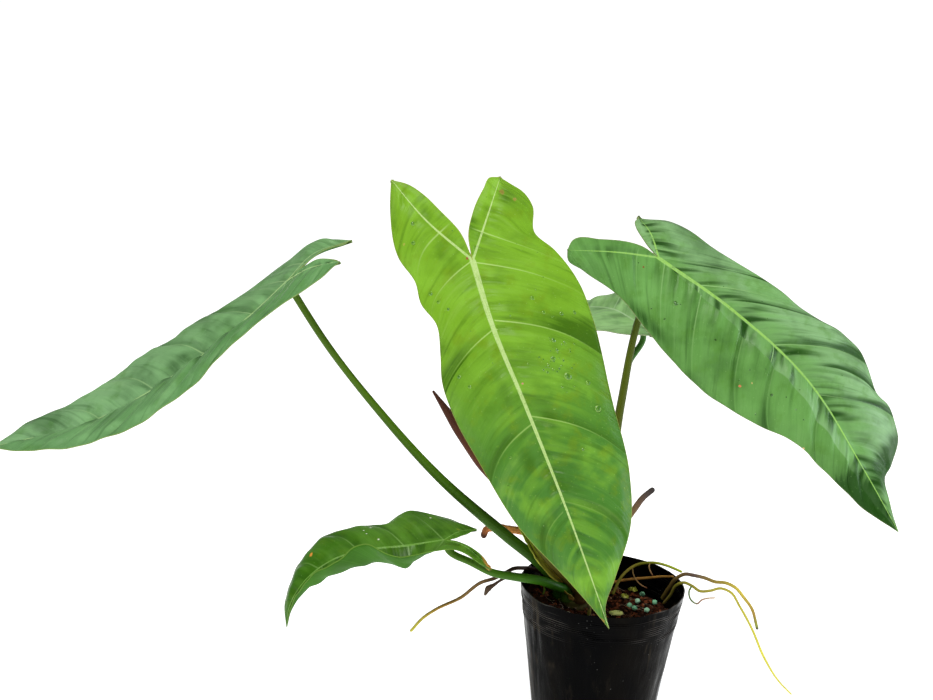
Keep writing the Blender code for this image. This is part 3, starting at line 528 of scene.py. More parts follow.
class Heap:
    """Points, faces, material numbers and point values gathered into one mesh."""

    def __init__(self, name):
        self.name, self.points, self.faces, self.numbers, self.values = name, [], [], [], {}

    def add(self, points, faces, number=0, **values):
        first = len(self.points)
        self.points += [tuple(p) for p in points]
        self.faces += [tuple(first + i for i in face) for face in faces]
        self.numbers += [number] * len(faces)
        for name in set(values) | set(self.values):
            column = self.values.setdefault(name, [0.0] * first)
            given = values.get(name, 0.0)
            column += [float(v) for v in given] if hasattr(given,
                                                           "__len__") else [float(given)] * len(points)

    def mesh(self, weld=0.0):
        mesh = bpy.data.meshes.new(self.name)
        mesh.from_pydata(self.points, [], self.faces)
        mesh.polygons.foreach_set("material_index", self.numbers)
        for name, column in self.values.items():
            mesh.attributes.new(name, "FLOAT", "POINT").data.foreach_set("value", column)
        if weld:
            made = bmesh.new()
            made.from_mesh(mesh)
            bmesh.ops.remove_doubles(made, verts=made.verts, dist=weld)
            made.to_mesh(mesh)
            made.free()
        mesh.shade_smooth()
        return mesh


def piece(name, mesh, slot, finishes, *replaced):
    """An object of the visual model, on the one body, in place of its CAD nodes."""
    made = bpy.data.objects.new(name, mesh)
    bpy.context.scene.collection.objects.link(made)
    for finish in finishes:
        mesh.materials.append(finish)
    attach(made, "root")
    if replaced:
        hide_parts(*replaced)
    return made


def read(mesh, name):
    """A point attribute's values."""
    found = np.empty(len(mesh.vertices))
    mesh.attributes[name].data.foreach_get("value", found)
    return found


def grid_faces(rows, columns, turned=False, closed=False):
    """Quads of a grid of points stored row by row; closed joins the last column to the first."""
    width = columns if closed else columns - 1
    for i in range(rows - 1):
        for j in range(width):
            k = (j + 1) % columns
            ring = (i * columns + j, i * columns + k, (i + 1) * columns + k, (i + 1) * columns + j)
            yield ring[::-1] if turned else ring


def sweep(heap, path, radii, sides=20, number=0, shape=None, round_end=True, **values):
    """Adds a tube along a path to a heap. radii are spread evenly along it, and shape(along,
    around) multiplies the radius. Its ends are closed, the far one rounded."""
    path = np.array(path, float)
    count = len(path)
    tangents = np.gradient(path, axis=0)
    tangents /= np.linalg.norm(tangents, axis=1)[:, None]
    side = np.cross(tangents[0], (0.31, 0.95, 0.05))
    radius = np.interp(np.linspace(0, 1, count), np.linspace(0, 1, len(radii)), radii)
    places, reach, centres, frames = [], [], [], []
    for i in range(count):
        side = side - side.dot(tangents[i]) * tangents[i]
        side /= np.linalg.norm(side)
        places.append(i / (count - 1))
        reach.append(radius[i])
        centres.append(path[i])
        frames.append((side, np.cross(tangents[i], side)))
    if round_end:
        for turn in (0.35, 0.7, 1.05, 1.4):
            places.append(1.0)
            reach.append(radius[-1] * cos(turn))
            centres.append(path[-1] + tangents[-1] * radius[-1] * sin(turn))
            frames.append(frames[count - 1])
    points, along, around = [], [], []
    for place, r, centre, (one, two) in zip(places, reach, centres, frames):
        for j in range(sides):
            angle = 2 * pi * j / sides
            scale = r * (shape(place, angle) if shape else 1.0)
            points.append(centre + scale * (cos(angle) * one + sin(angle) * two))
            along.append(place)
            around.append(0.5 - 0.5 * cos(angle))
    rows = len(places)
    faces = list(grid_faces(rows, sides, closed=True))
    points += [centres[0], centres[-1] + tangents[-1] * (0.05 * radius[-1])]
    along += [0.0, 1.0]
    around += [0.5, 0.5]
    start, end = rows * sides, rows * sides + 1
    faces += [(start, (j + 1) % sides, j) for j in range(sides)]
    last = (rows - 1) * sides
    faces += [(end, last + j, last + (j + 1) % sides) for j in range(sides)]
    heap.add(points, faces, number, along=along, around=around, **values)


# --- Finishes -------------------------------------------------------------------------
class Finish:
    """A procedural material under construction. Keywords set the shader's own sockets."""

    def __init__(self, name, **sockets):
        self.material = bpy.data.materials.new(name)
        self.material.use_nodes = True
        self.tree = self.material.node_tree
        self.shader = self.tree.nodes["Principled BSDF"]
        for socket, value in sockets.items():
            self.shader.inputs[socket.replace("_", " ")].default_value = value

    def node(self, kind, inputs, **settings):
        made = self.tree.nodes.new("ShaderNode" + kind)
        for name, value in settings.items():
            setattr(made, name, value)
        for key, value in inputs.items():
            if isinstance(value, bpy.types.NodeSocket):
                self.tree.links.new(value, made.inputs[key])
            elif value is not None:
                made.inputs[key].default_value = value
        return made

    def value(self, name):
        return self.node("Attribute", {}, attribute_name=name).outputs["Fac"]

    def place(self):
        return self.node("TexCoord", {}).outputs["Object"]

    def vector(self, x, y, z=0.0):
        return self.node("CombineXYZ", {"X": x, "Y": y, "Z": z}).outputs[0]

    def stretched(self, vector, scale):
        return self.node("Mapping", {"Vector": vector, "Scale": scale}).outputs[0]

    def noise(self, vector, scale, detail=3.0, roughness=0.55):
        inputs = {"Vector": vector, "Scale": scale, "Detail": detail, "Roughness": roughness}
        return self.node("TexNoise", inputs).outputs["Fac"]

    def cells(self, vector, scale):
        return self.node("TexVoronoi", {"Vector": vector, "Scale": scale}).outputs["Distance"]

    def math(self, operation, a, b=0.0):
        return self.node("Math", {0: a, 1: b}, operation=operation).outputs[0]

    def times(self, a, b):
        return self.math("MULTIPLY", a, b)

    def plus(self, a, b):
        return self.math("ADD", a, b)

    def minus(self, a, b):
        return self.math("SUBTRACT", a, b)

    def step(self, value, low, high, start=0.0, end=1.0):
        inputs = {"Value": value, "From Min": low, "From Max": high, "To Min": start, "To Max": end}
        return self.node("MapRange", inputs, interpolation_type="SMOOTHSTEP").outputs["Result"]

    def mix(self, factor, a, b, blend="MIX"):
        a, b = (v if isinstance(v, bpy.types.NodeSocket) else (*v, 1.0) for v in (a, b))
        made = self.node("Mix", {"Factor": factor, 6: a, 7: b}, data_type="RGBA", blend_type=blend)
        return made.outputs[2]

    def tint(self, colour, over, value, low, high, most=1.0):
        """One colour laid over another, from none where a value is low to most at high."""
        return self.mix(self.step(value, low, high, 0.0, most), colour, over)

    def ramp(self, factor, stops):
        made = self.node("ValToRGB", {"Fac": factor})
        elements = made.color_ramp.elements
        while len(elements) < len(stops):
            elements.new(0.5)
        for element, (place, _) in zip(elements, stops):
            element.position = place
        for element, (_, colour) in zip(elements, stops):
            element.color = (*colour, 1.0)
        return made.outputs["Color"]

    def done(self, colour, roughness=None, height=None, distance=0.0003, strength=1.0):
        self.tree.links.new(colour, self.shader.inputs["Base Color"])
        if roughness:
            self.tree.links.new(roughness, self.shader.inputs["Roughness"])
        if height:
            bump = self.node("Bump", {"Height": height, "Distance": distance, "Strength": strength})
            self.tree.links.new(bump.outputs[0], self.shader.inputs["Normal"])
        return self.material


def spotted(f, colour, look, length, fine):
    """Adds the blade's spots, each with an uneven edge."""
    along, across, mm = f.value("along_mm"), f.value("across_mm"), 1000 * length
    for a, b, radius, tint in look["spots"]:
        near = f.math("POWER", f.minus(along, mm * a), 2.0)
        aside = f.math("POWER", f.minus(across, mm * b), 2.0)
        far = f.math("SQRT", f.plus(near, aside))
        far = f.plus(far, f.step(fine, 0.3, 0.7, -0.4, 0.4))
        colour = f.mix(f.step(far, radius, 0.55 * radius, 0.0, 0.85), colour, tint)
    return colour


def leaf_top(name, look, length):
    """Upper face: a gradient along the blade, partly painted light and shade, mottling, fine
    parallel veins that follow the main ones, painted shade in the folds, below the shelves
    and in the dents beside the midrib, painted highlights on the swellings and lit creases, a
    colour laid over one half (on the right blade a painted sheen), pale ribs, a pale margin
    and spots, the near-white ones painted glints."""
    f = Finish(name + " leaf upper face", IOR=1.45, Specular_IOR_Level=0.11)
    along, across = f.value("along_mm"), f.value("across_mm")
    lateral, edge, fold = f.value("lateral_mm"), f.value("edge_mm"), f.value("fold")
    place = f.place()
    broad, fine = f.noise(place, 26, 4), f.noise(place, 420, 4)
    threads = f.noise(f.vector(f.times(lateral, 0.75), f.times(across, 0.045)), 1.0, 3)
    bands = f.noise(f.vector(f.times(lateral, 0.16), f.times(across, 0.018)), 1.0, 2)
    share, mm = f.value("share"), 1000 * length
    right_half = f.step(across, -0.5, 0.5)
    halves = (f.minus(1.0, right_half), right_half)
    # painted shade below each shelf, where the half drops to a side vein, added to the folds'
    for half, vein, reach, begin, full, depth in look["shelves"]:
        width = f.times(f.plus(share, 0.45), reach)
        above = f.math("DIVIDE", f.minus(mm * vein, lateral), width)
        drop = f.times(f.step(above, -0.03, 0.07), f.step(above, 2.0, 0.2))
        drop = f.times(drop, f.step(share, begin, full, 0.0, depth))
        fold = f.plus(fold, f.times(drop, halves[half]))
    # the gradient along the blade, partly painted light and shade
    low, high = (mm * v for v in look["fade"])
    colour = f.mix(f.step(along, low, high), look["base"], look["tip"])
    # a colour laid over one half: a painted sheen on the right blade's far half
    for half, tint, amount in look["wash"]:
        colour = f.mix(f.times(halves[half], f.step(share, 0.0, 0.55, 0.3 * amount, amount)), colour, tint)
    light = [min(1.0, 1.35 * v + 0.012) for v in look["base"]]
    # painted shade in the dents beside the midrib, and a painted highlight on the swellings
    near_rib = f.step(share, 0.55, 0.08)
    dents = f.noise(f.vector(f.times(lateral, 0.115), f.times(across, 0.03)), 1.0, 1)
    pucker = f.times(f.step(dents, 0.47, 0.66), near_rib)
    swell_highlight = f.times(f.step(dents, 0.5, 0.34), f.step(share, 0.9, 0.2))
    colour = f.tint(colour, light, broad, 0.52, 0.72, 0.55)
    colour = f.tint(colour, look["deep"], broad, 0.5, 0.28, 0.5)
    olive = f.noise(place, 75, 4)
    colour = f.tint(colour, look["olive"], olive, 0.5, 0.7, 0.45)
    colour = f.tint(colour, look["vein"], bands, 0.56, 0.74, 0.1)
    colour = f.tint(colour, look["deep"], bands, 0.46, 0.28, 0.4)
    colour = f.tint(colour, look["vein"], threads, 0.55, 0.75, 0.07)
    colour = f.tint(colour, look["deep"], threads, 0.45, 0.28, 0.14)
    # the painted shade in the dents is stronger on half 1
    pucker = f.times(pucker, f.plus(0.45, f.times(right_half, 0.55)))
    colour = f.mix(f.times(pucker, look["pucker"]), colour, look["deep"])
    colour = f.mix(f.times(swell_highlight, 0.3), colour, light)
    # painted shade in the folds and below the shelves, broken along the vein bands, and a painted highlight
    # on lit creases
    fold_shade = f.times(fold, f.step(bands, 0.3, 0.62, 0.55, 1.25))
    colour = f.tint(colour, look["deep"], fold_shade, 0.05, 1.1, 0.88)
    colour = f.tint(colour, light, fold, -0.05, -0.9, 0.3)
    colour = f.tint(colour, light, fine, 0.6, 0.76, 0.18)
    colour = f.tint(colour, look["vein"], f.cells(place, 260), 0.12, 0.06, 0.22)
    for half in (0, 1):
        for vein, paleness in look["laterals"][half]:
            beside = f.math("ABSOLUTE", f.minus(lateral, mm * vein))
            line = f.times(f.step(beside, 0.75, 0.2, 0.0, paleness), f.step(share, 0.95, 0.1, 0.12, 1.0))
            colour = f.mix(f.times(line, halves[half]), colour, look["vein"])
    stripes = f.noise(f.vector(f.times(along, 0.1), f.times(across, 1.9)), 1.0, 3)
    rib = f.mix(f.step(stripes, 0.42, 0.62, 0.0, 0.75), look["rib"], look["vein"])
    rib = f.tint(rib, look["base"], f.noise(place, 900), 0.56, 0.68, 0.5)
    colour = f.tint(colour, rib, f.value("rib"), 1.08, 0.8, 0.9)
    colour = f.tint(colour, look["margin"], edge, 0.55, 0.15, 0.75)
    colour = spotted(f, colour, look, length, fine)
    roughness = f.step(broad, 0.3, 0.7, 0.3, 0.44)
    height = f.plus(f.times(threads, 0.1), f.times(fine, 0.05))
    height = f.plus(height, f.times(bands, 0.7))
    height = f.minus(height, f.times(pucker, 0.55))
    return f.done(colour, roughness, height, 0.0022, 0.75)


def leaf_under(name, look, length):
    """Underside and cut edge: a darker, duller green that is painted shade, with the veins a little
    lighter.
    """
    f = Finish(name + " leaf underside", IOR=1.45, Specular_IOR_Level=0.12)
    # painted shade: the underside colour is a darker green than the upper face
    pale = look["under"]
    dull = [0.55 * v for v in pale]
    threads = f.noise(f.vector(f.times(f.value("lateral_mm"), 0.75), f.value("fold")), 1.0, 3)
    colour = f.mix(f.step(f.noise(f.place(), 40, 4), 0.35, 0.7, 0.0, 0.6), pale, dull)
    colour = f.tint(colour, look["vein"], threads, 0.5, 0.75, 0.16)
    colour = f.tint(colour, look["vein"], f.value("rib"), 1.3, 0.8, 0.6)
    colour = spotted(f, colour, look, length, f.noise(f.place(), 420, 4))
    colour = f.tint(colour, look["margin"], f.value("edge_mm"), 0.4, 0.1, 0.7)
    return f.done(colour, f.step(threads, 0.3, 0.7, 0.5, 0.6), threads, 0.0003, 0.5)


def stalk_finish(name, stops, streaks=0.35, roughness=0.42, wrinkle=0.5, dark=(0.01, 0.02, 0.004),
                 grain=1.0):
    """A stalk or a root: colours along it, lengthwise streaks, fine grain."""
    f = Finish(name, IOR=1.45, Specular_IOR_Level=0.16)
    along, around, place = f.value("along"), f.value("around"), f.place()
    streak = f.noise(f.vector(f.times(along, 3.0), f.times(around, 9.0)), 1.6, 4)
    grainy = f.noise(place, 900 * grain, 4)
    rings = f.noise(f.vector(f.times(along, 120.0), f.times(around, 1.5)), 1.0, 3)
    colour = f.ramp(along, stops)
    lighter = f.mix(1.0, colour, (1.7, 1.6, 1.5), "MULTIPLY")
    colour = f.tint(colour, lighter, streak, 0.5, 0.75, streaks)
    colour = f.tint(colour, dark, streak, 0.5, 0.25, streaks * 1.3)
    colour = f.tint(colour, lighter, grainy, 0.6, 0.75, 0.35)
    colour = f.tint(colour, dark, rings, 0.56, 0.76, wrinkle * 0.6)
    height = f.plus(f.times(rings, wrinkle), f.times(grainy, 0.4))
    return f.done(colour, f.step(grainy, 0.3, 0.7, roughness - 0.06, roughness + 0.1), height, 0.00035, 0.6)


def film_finish():
    """Soft black polythene: streaked gloss, a painted brownish sheen in streaky patches
    towards the left and right sides, painted highlights on the raised lines and the rim's
    edge, dust and scuffs.
    """
    f = Finish("black pot film", IOR=1.5, Specular_IOR_Level=0.025)
    place = f.place()
    streaks = f.noise(f.stretched(place, (1.0, 1.0, 0.16)), 95, 5, 0.6)
    broad = f.noise(f.stretched(place, (1.0, 1.0, 0.5)), 24, 3)
    dust = f.cells(place, 330)
    dusty = f.step(f.noise(place, 60, 2), 0.5, 0.7)
    scuff = f.noise(f.stretched(place, (1.0, 1.0, 3.5)), 260, 5, 0.7)
    colour = f.mix(f.step(broad, 0.46, 0.68, 0.0, 0.9), (0.0002, 0.0002, 0.0004), (0.0024, 0.0018, 0.0012))
    # painted sheen: brownish streaky patches, laid strongest on the left and right sides
    worn = f.times(f.step(f.noise(place, 30, 3), 0.4, 0.58), f.step(f.value("side"), 0.35, 0.8, 0.15, 1.0))
    colour = f.mix(f.times(f.step(streaks, 0.54, 0.7, 0.0, 0.95), worn), colour, (0.052, 0.041, 0.027))
    # painted highlight: the raised lines and the rim's edge are lighter, most towards the left and right
    # sides
    line = f.times(f.value("line"), f.step(f.value("side"), 0.15, 0.75, 0.22, 1.0))
    colour = f.tint(colour, (0.1, 0.09, 0.082), line, 0.12, 0.75, 0.9)
    colour = f.mix(f.times(f.step(dust, 0.13, 0.05, 0.0, 0.8), dusty), colour, (0.22, 0.22, 0.21))
    colour = f.tint(colour, (0.22, 0.22, 0.22), scuff, 0.71, 0.76, 0.5)
    roughness = f.plus(f.step(streaks, 0.35, 0.65, 0.12, 0.42), f.step(dusty, 0.0, 1.0, 0.0, 0.06))
    height = f.plus(f.times(streaks, 0.8), f.times(broad, 1.6))
    return f.done(colour, roughness, height, 0.0018, 0.6)


def earth_finish(name, stops, scale=420, roughness=0.85):
    """Soil, bark or another crumbly thing: patchy colour from each piece's own tone, and
    near-black patches of painted shade for the shadowed gaps between crumbs.
    """
    f = Finish(name, Specular_IOR_Level=0.08)
    place = f.place()
    patches = f.noise(place, scale, 5, 0.65)
    fine = f.noise(place, scale * 4, 4, 0.6)
    tone = f.plus(f.times(f.value("tone"), 0.65), f.times(patches, 0.42))
    colour = f.ramp(tone, stops)
    colour = f.tint(colour, stops[-1][1], fine, 0.62, 0.78, 0.45)
    # painted shade: noise patches darkened nearly to black as shadowed gaps
    gap_shade = f.step(f.noise(place, 0.45 * scale, 3), 0.5, 0.38, 0.0, 0.85)
    colour = f.mix(gap_shade, colour, [0.12 * v for v in stops[0][1]])
    height = f.plus(patches, f.times(fine, 0.5))
    return f.done(colour, f.step(patches, 0.3, 0.7, roughness - 0.1, roughness + 0.08), height, 0.0006, 0.8)


def water_finish(name, look):
    """A water drop: as glossy as water, in the colour of the blade that shows through it,
    with a painted lighter foot and a painted darker crown in place of the light a clear drop bends."""
    f = Finish(name + " water", IOR=1.33, Roughness=0.03, Specular_IOR_Level=0.9)
    ripple = f.noise(f.place(), 500, 2)
    base = f.mix(f.step(ripple, 0.3, 0.7), look["base"], look["tip"])
    # painted light at the drop's foot and painted shade at its crown
    colour = f.mix(f.step(f.value("lift"), 0.0, 0.45), look["vein"], base)
    colour = f.tint(colour, look["deep"], f.value("lift"), 0.35, 1.0, 0.5)
    return f.done(colour, None, ripple, 0.0001, 0.15)


# --- Leaves ---------------------------------------------------------------------------
def leaf_axes(leaf):
    along = Vector(leaf["aim"]).normalized()
    facing = Vector(leaf["facing"])
    facing = (facing - facing.dot(along) * along).normalized()
    return along, facing.cross(along), facing


def blade(name, leaf, look):
    """A heart-shaped blade with its veins and folds: two halves lofted from the midrib and
    the lobes' ribs to the margin, and a strip from each rib to the notch."""
    along, across, facing = (np.array(v) for v in leaf_axes(leaf))
    joint, length = np.array(CROWN + Vector(leaf["joint"])), leaf["length"]
    mm = 1000 * length
    tip = leaf.get("tip", (1, 0, 0))
    middle = smooth([(0, 0, 0)] + leaf["midrib"] + [tip], BLADE_ROWS + 1)
    heap = Heap(name + "_blade_fine")
    row = np.arange(LOBE_ROWS + BLADE_ROWS + 1)
    down = (row - LOBE_ROWS) / BLADE_ROWS  # place of each row along the midrib
    seed = sum(ord(letter) for letter in name)
    for side in (0, 1):
        sign = 2 * side - 1
        lobe_tip = leaf["ribs"][side][-1]
        rib = smooth([lobe_tip, *leaf["ribs"][side][-2::-1], (0, 0, 0)], LOBE_ROWS + 1)
        margin = smooth([lobe_tip, *leaf["margins"][side], tip], LOBE_ROWS + BLADE_ROWS + 1)
        notch = smooth([lobe_tip, *leaf["notches"][side], (0, 0, 0)], LOBE_ROWS + 1)
        outer = (np.vstack([rib, middle[1:]]), margin, SIDE_COLUMNS, leaf["cup"][side], True)
        inner = (rib, notch, NOTCH_COLUMNS, 0.0, False)
        for start, end, columns, cup, is_outer in (outer, inner):
            share = np.linspace(0, 1, columns + 1)[None, :]
            q = down[: len(start), None] + 0 * share
            span = np.linalg.norm(end - start, axis=1)[:, None]
            place = start[:, None, :] + (end - start)[:, None, :] * share[..., None]
            ease = np.minimum(1.0, abs(row[: len(start), None] - LOBE_ROWS) / EASE_ROWS)
            place[..., 2] += cup * ease * span * 4 * share * (1 - share)
            from_rib, from_edge = share * span * mm, (1 - share) * span * mm
            bend = look["sweep"][side] if is_outer else 0.0
            lateral = q - bend * (0.45 * share + 0.55 * share**3)
            veins = np.array([vein for vein, _ in look["laterals"][side]] if is_outer else [-9.0])
            to_vein = np.abs(lateral[..., None] - veins).min(axis=2) * mm
            # fold: how deep each crease is; it shapes the blade and is painted as shade (above 0) and
            # highlight (below 0) on the upper face
            fold = np.zeros_like(q)
            for a, b, reach_a, reach_b, depth in look["folds"]:
                if sign * b > -0.01:
                    off = ((place[..., 0] - a) / reach_a) ** 2 + ((place[..., 1] - b) / reach_b) ** 2
                    fold += depth * np.exp(-off)
            drop = np.zeros_like(q)
            for half_number, vein, reach, begin, full, depth in look["shelves"]:
                if half_number == side and is_outer:
                    above = (vein - lateral) * mm / (reach * (0.45 + share))
                    drop += depth * step(above, -0.4, 0.5) * step(above, 2.2, 0.5) * step(share, begin,
                                                                                          full)
            crease = np.array([
                [wander(q * mm * 0.11 + seed, t * 0.8 + sign, 0.3) for q, t in zip(*rows)]
                for rows in zip(lateral, share + 0 * q)
            ])
            calm = np.exp(-((from_rib / 22) ** 2))
            relief = (
                look["relief"] * (1 - np.exp(-((to_vein / 4) ** 2)))
                * (1 - np.exp(-((from_rib / 7) ** 2)))
            )
            relief += 0.9 * look["relief"] * crease * (0.35 + 0.65 * calm) * step(from_rib, 0.5, 5.0)
            relief *= step(from_edge, 0.0, 9.0) * (0.3 + 0.7 * ease)
            relief -= 1.3 * (fold + drop) * step(from_rib, 1.0, 6.0) * step(from_edge, 0.0, 8.0)
            ripple = np.sin(q * 31 + seed + 2.2 * side) * 0.6 + np.sin(q * 67 + 2 * seed) * 0.3
            relief += look["wave"] * ripple * share**4 * (1 - step(q, 0.85, 1.0)) * ease
            half = look["rib_width"] * (1 - 0.88 * np.clip(q, 0, 1) ** 0.85) / 2
            half = np.where(q < 0, 0.24 * look["rib_width"] * (1 + 3.2 * q), half)
            half = np.maximum(half, 0.1)
            relief += 0.25 * np.exp(-((from_rib / (half + 0.3)) ** 2)) - 0.15
            place[..., 2] += relief / mm
            points = joint + length * (
                place[..., 0:1] * along + place[..., 1:2] * across + place[..., 2:3] * facing
            )
            ridge = np.clip(1 - np.abs(q), 0, 1) * (1 - step(from_rib, 0.6, 2.8))
            turned_over = (side == 1) == is_outer
            heap.add(
                points.reshape(-1, 3), list(grid_faces(len(start), columns + 1, turned_over)),
                along_mm=(place[..., 0] * mm).ravel(), across_mm=(place[..., 1] * mm).ravel(),
                lateral_mm=(lateral * mm).ravel(), share=(share + 0 * q).ravel(), edge_mm=from_edge.ravel(),
                rib=(from_rib / half).ravel(), fold=fold.ravel(), ridge=ridge.ravel(),
            )
    mesh = heap.mesh(weld=1e-6)
    made = piece(
        name + "_blade_fine", mesh, "leaf_bright" if name == "front" else "leaf",
        [leaf_top(name, look, length), leaf_under(name, look, length)], name + "_blade",
    )
    group = made.vertex_groups.new(name="midrib")
    for index, weight in enumerate(read(mesh, "ridge")):
        if weight > 0:
            group.add([index], float(weight), "REPLACE")
    solid = made.modifiers.new("Thickness", "SOLIDIFY")
    solid.thickness = MIDRIB_THICKNESS
    solid.offset = -1.0
    solid.vertex_group = "midrib"
    solid.thickness_vertex_group = BLADE_THICKNESS / MIDRIB_THICKNESS
    solid.material_offset = 1
    solid.material_offset_rim = 1
    return mesh


DROP_HEIGHT = 0.00055  # of a drop of 1 mm radius
DROP_SINK, DROP_FOOT = 0.00002, 0.0001  # how far its rim and its foot are in the blade
SCATTERED_DROPS, CLUSTERED_DROPS = 26, 34


def read_edge(mesh, index):
    """Distance of a point from the blade's margin, in mm."""
    return mesh.attributes["edge_mm"].data[index].value


def drops(name, leaf, mesh, placed, seed):
    """Water on a blade: the placed drops and a scatter of small ones, each a low lens."""
    mm = 1000 * leaf["length"]
    flat = np.stack([read(mesh, "along_mm"), read(mesh, "across_mm")], axis=1)
    rng = Random(seed)
    scattered = [(rng.uniform(-0.15, 0.75), rng.uniform(-0.12, 0.19),
                  rng.uniform(0.3, 0.6)) for _ in range(SCATTERED_DROPS)]
    if name == "front":
        scattered += [(rng.gauss(0.315, 0.03), rng.gauss(0.115, 0.028),
                       rng.uniform(0.35, 0.85)) for _ in range(CLUSTERED_DROPS)]
    heap = Heap(name + "_water_drops")
    for a, b, radius in placed + scattered:
        nearest = int(np.argmin(np.sum((flat - (a * mm, b * mm)) ** 2, axis=1)))
        vertex = mesh.vertices[nearest]
        if read_edge(mesh, nearest) < radius + 1.0:
            continue
        up = vertex.normal
        one = up.cross(Vector((0.2, 1.0, 0.1))).normalized()
        two = up.cross(one)
        wide = 1 + 0.18 * rng.random()
        points, lifts, rings, sides = [], [], 5, 16
        for i in range(rings + 1):
            lift = i / rings * pi / 2
            r = radius / 1000 * cos(lift)
            for j in range(sides):
                turn = 2 * pi * j / sides
                flatwise = one * (r * wide * cos(turn)) + two * (r * sin(turn))
                points.append(vertex.co + flatwise + up * (DROP_HEIGHT * radius * sin(lift) - DROP_SINK))
                lifts.append(i / rings)
        points.append(vertex.co - up * DROP_FOOT)
        lifts.append(0.0)
        faces = list(grid_faces(rings + 1, sides, closed=True))
        faces += [(len(points) - 1, (j + 1) % sides, j) for j in range(sides)]
        heap.add(points, faces, lift=lifts)
    piece(name + "_water_drops", heap.mesh(weld=1e-6), "leaf", [water_finish(name, LOOKS[name])])


blades = {name: blade(name, leaf, LOOKS[name]) for name, leaf in LEAVES.items()}
for seed, (name, placed) in enumerate(DROPS.items()):
    drops(name, LEAVES[name], blades[name], placed, 5 + seed)


# --- Petioles and cataphylls ----------------------------------------------------------
def foot(angle):
    """A place on the crown's ring."""
    turn = radians(angle)
    return CROWN + Vector((CROWN_RING * cos(turn), CROWN_RING * sin(turn), GAP))


def stalk_shape(place, angle):
    """A round stalk, faintly ribbed, that flares where it clasps the stem."""
    ribs = 1 + 0.018 * sin(9 * angle) + 0.02 * sin(2 * angle + 4 * place)
    return ribs * (1 + 0.16 * exp(-((place / 0.07) ** 2)))


SHEATH_ROWS, SHEATH_COLUMNS, SHEATH_THICKNESS = 40, 15, 0.0004


def sheath(heap, path, radius):
    """The front petiole's papery sheath: an open gutter that narrows to a point, split and
    ragged along its edges."""
    rows, columns = SHEATH_ROWS, SHEATH_COLUMNS
    points, tone, along = [], [], []
    for i in range(rows):
        s = i / (rows - 1)
        centre, ahead = path[i], path[min(i + 1, rows - 1)] - path[max(i - 1, 0)]
        ahead = ahead / np.linalg.norm(ahead)
        out = np.cross(ahead, (0.0, 1.0, 0.0))
        out /= np.linalg.norm(out)
        front = np.cross(out, ahead)
        open_angle = radians(118) * (1 - s) ** 0.6 + 0.1
        reach = radius * (1.55 + 0.75 * (1 - s) ** 2)
        for j in range(columns):
            t = 2 * j / (columns - 1) - 1
            turn = t * open_angle + radians(65)
            ragged = 1 + 0.1 * wander(9 * s, 5 * t) + 0.14 * t * t * wander(21 * s, 3.0)
            points.append(centre + reach * ragged * (cos(turn) * out + sin(turn) * front))
            tone.append(0.5 + 0.5 * t)
            along.append(s)
    faces = list(grid_faces(rows, columns))
    heap.add(points, faces, 1, along=along, around=tone)


def thicken(heap_mesh, amount):
    """A copy of an open mesh with thickness, as plain mesh data."""
    made = bpy.data.objects.new("sheet", heap_mesh)
    bpy.context.scene.collection.objects.link(made)
    solid = made.modifiers.new("Thickness", "SOLIDIFY")
    solid.thickness = amount
    solid.offset = 0.0
    graph = bpy.context.evaluated_depsgraph_get()
    mesh = bpy.data.meshes.new_from_object(made.evaluated_get(graph))
    bpy.data.objects.remove(made)
    return mesh


def join(first, *others):
    """Adds other meshes to the first, keeping their material numbers and attributes."""
    made = bmesh.new()
    for mesh in (first, *others):
        made.from_mesh(mesh)
    made.to_mesh(first)
    made.free()
    first.shade_smooth()
    return first


for name, leaf in LEAVES.items():
    angle, base, tip_radius, between = PETIOLES[name]
    along, across, facing = leaf_axes(leaf)
    start, end = foot(angle), CROWN + Vector(leaf["joint"]) - facing * (MIDRIB_THICKNESS * 0.5)
    points = [start - Vector((0, 0, 0.002)), start + Vector((0, 0, 0.006))]
    points += [start + Vector(p) for p in between] + [end - facing * 0.008, end]
    path = smooth(points, 110)
    radii = [base * PETIOLE_BASE, base * PETIOLE_BASE * 0.92, 1.5 * tip_radius, 1.22 * tip_radius,
             1.25 * tip_radius]
    heap = Heap(name + "_petiole_fine")
    sweep(heap, path, radii, 24, shape=stalk_shape, round_end=False)
    mesh = heap.mesh()
    finishes = [stalk_finish(name + " petiole", PETIOLE_TONES[name])]
    if name == "front":
        gutter = Heap("sheath")
        sheath(gutter, path[2 : 2 + SHEATH_ROWS], base * PETIOLE_BASE)
        mesh = join(mesh, thicken(gutter.mesh(), SHEATH_THICKNESS))
        stops = [(0.0, (0.34, 0.16, 0.04)), (0.3, (0.66, 0.58, 0.08)), (0.65, (0.5, 0.66, 0.06)),
                 (1.0, (0.85, 0.66, 0.12))]
        finishes.append(stalk_finish("front petiole sheath", stops, 0.9, 0.6, 0.2, (0.14, 0.05, 0.015)))
    piece(name + "_petiole_fine", mesh, "petiole", finishes, name + "_petiole")


def spear_shape(place, angle):
    """A rolled blade: one overlapping edge stands a little proud along it."""
    overlap = ((angle - 1.2 - 2.5 * place) % (2 * pi)) / (2 * pi)
    return 0.9 + 0.13 * (1 - overlap) + 0.02 * sin(3 * angle)


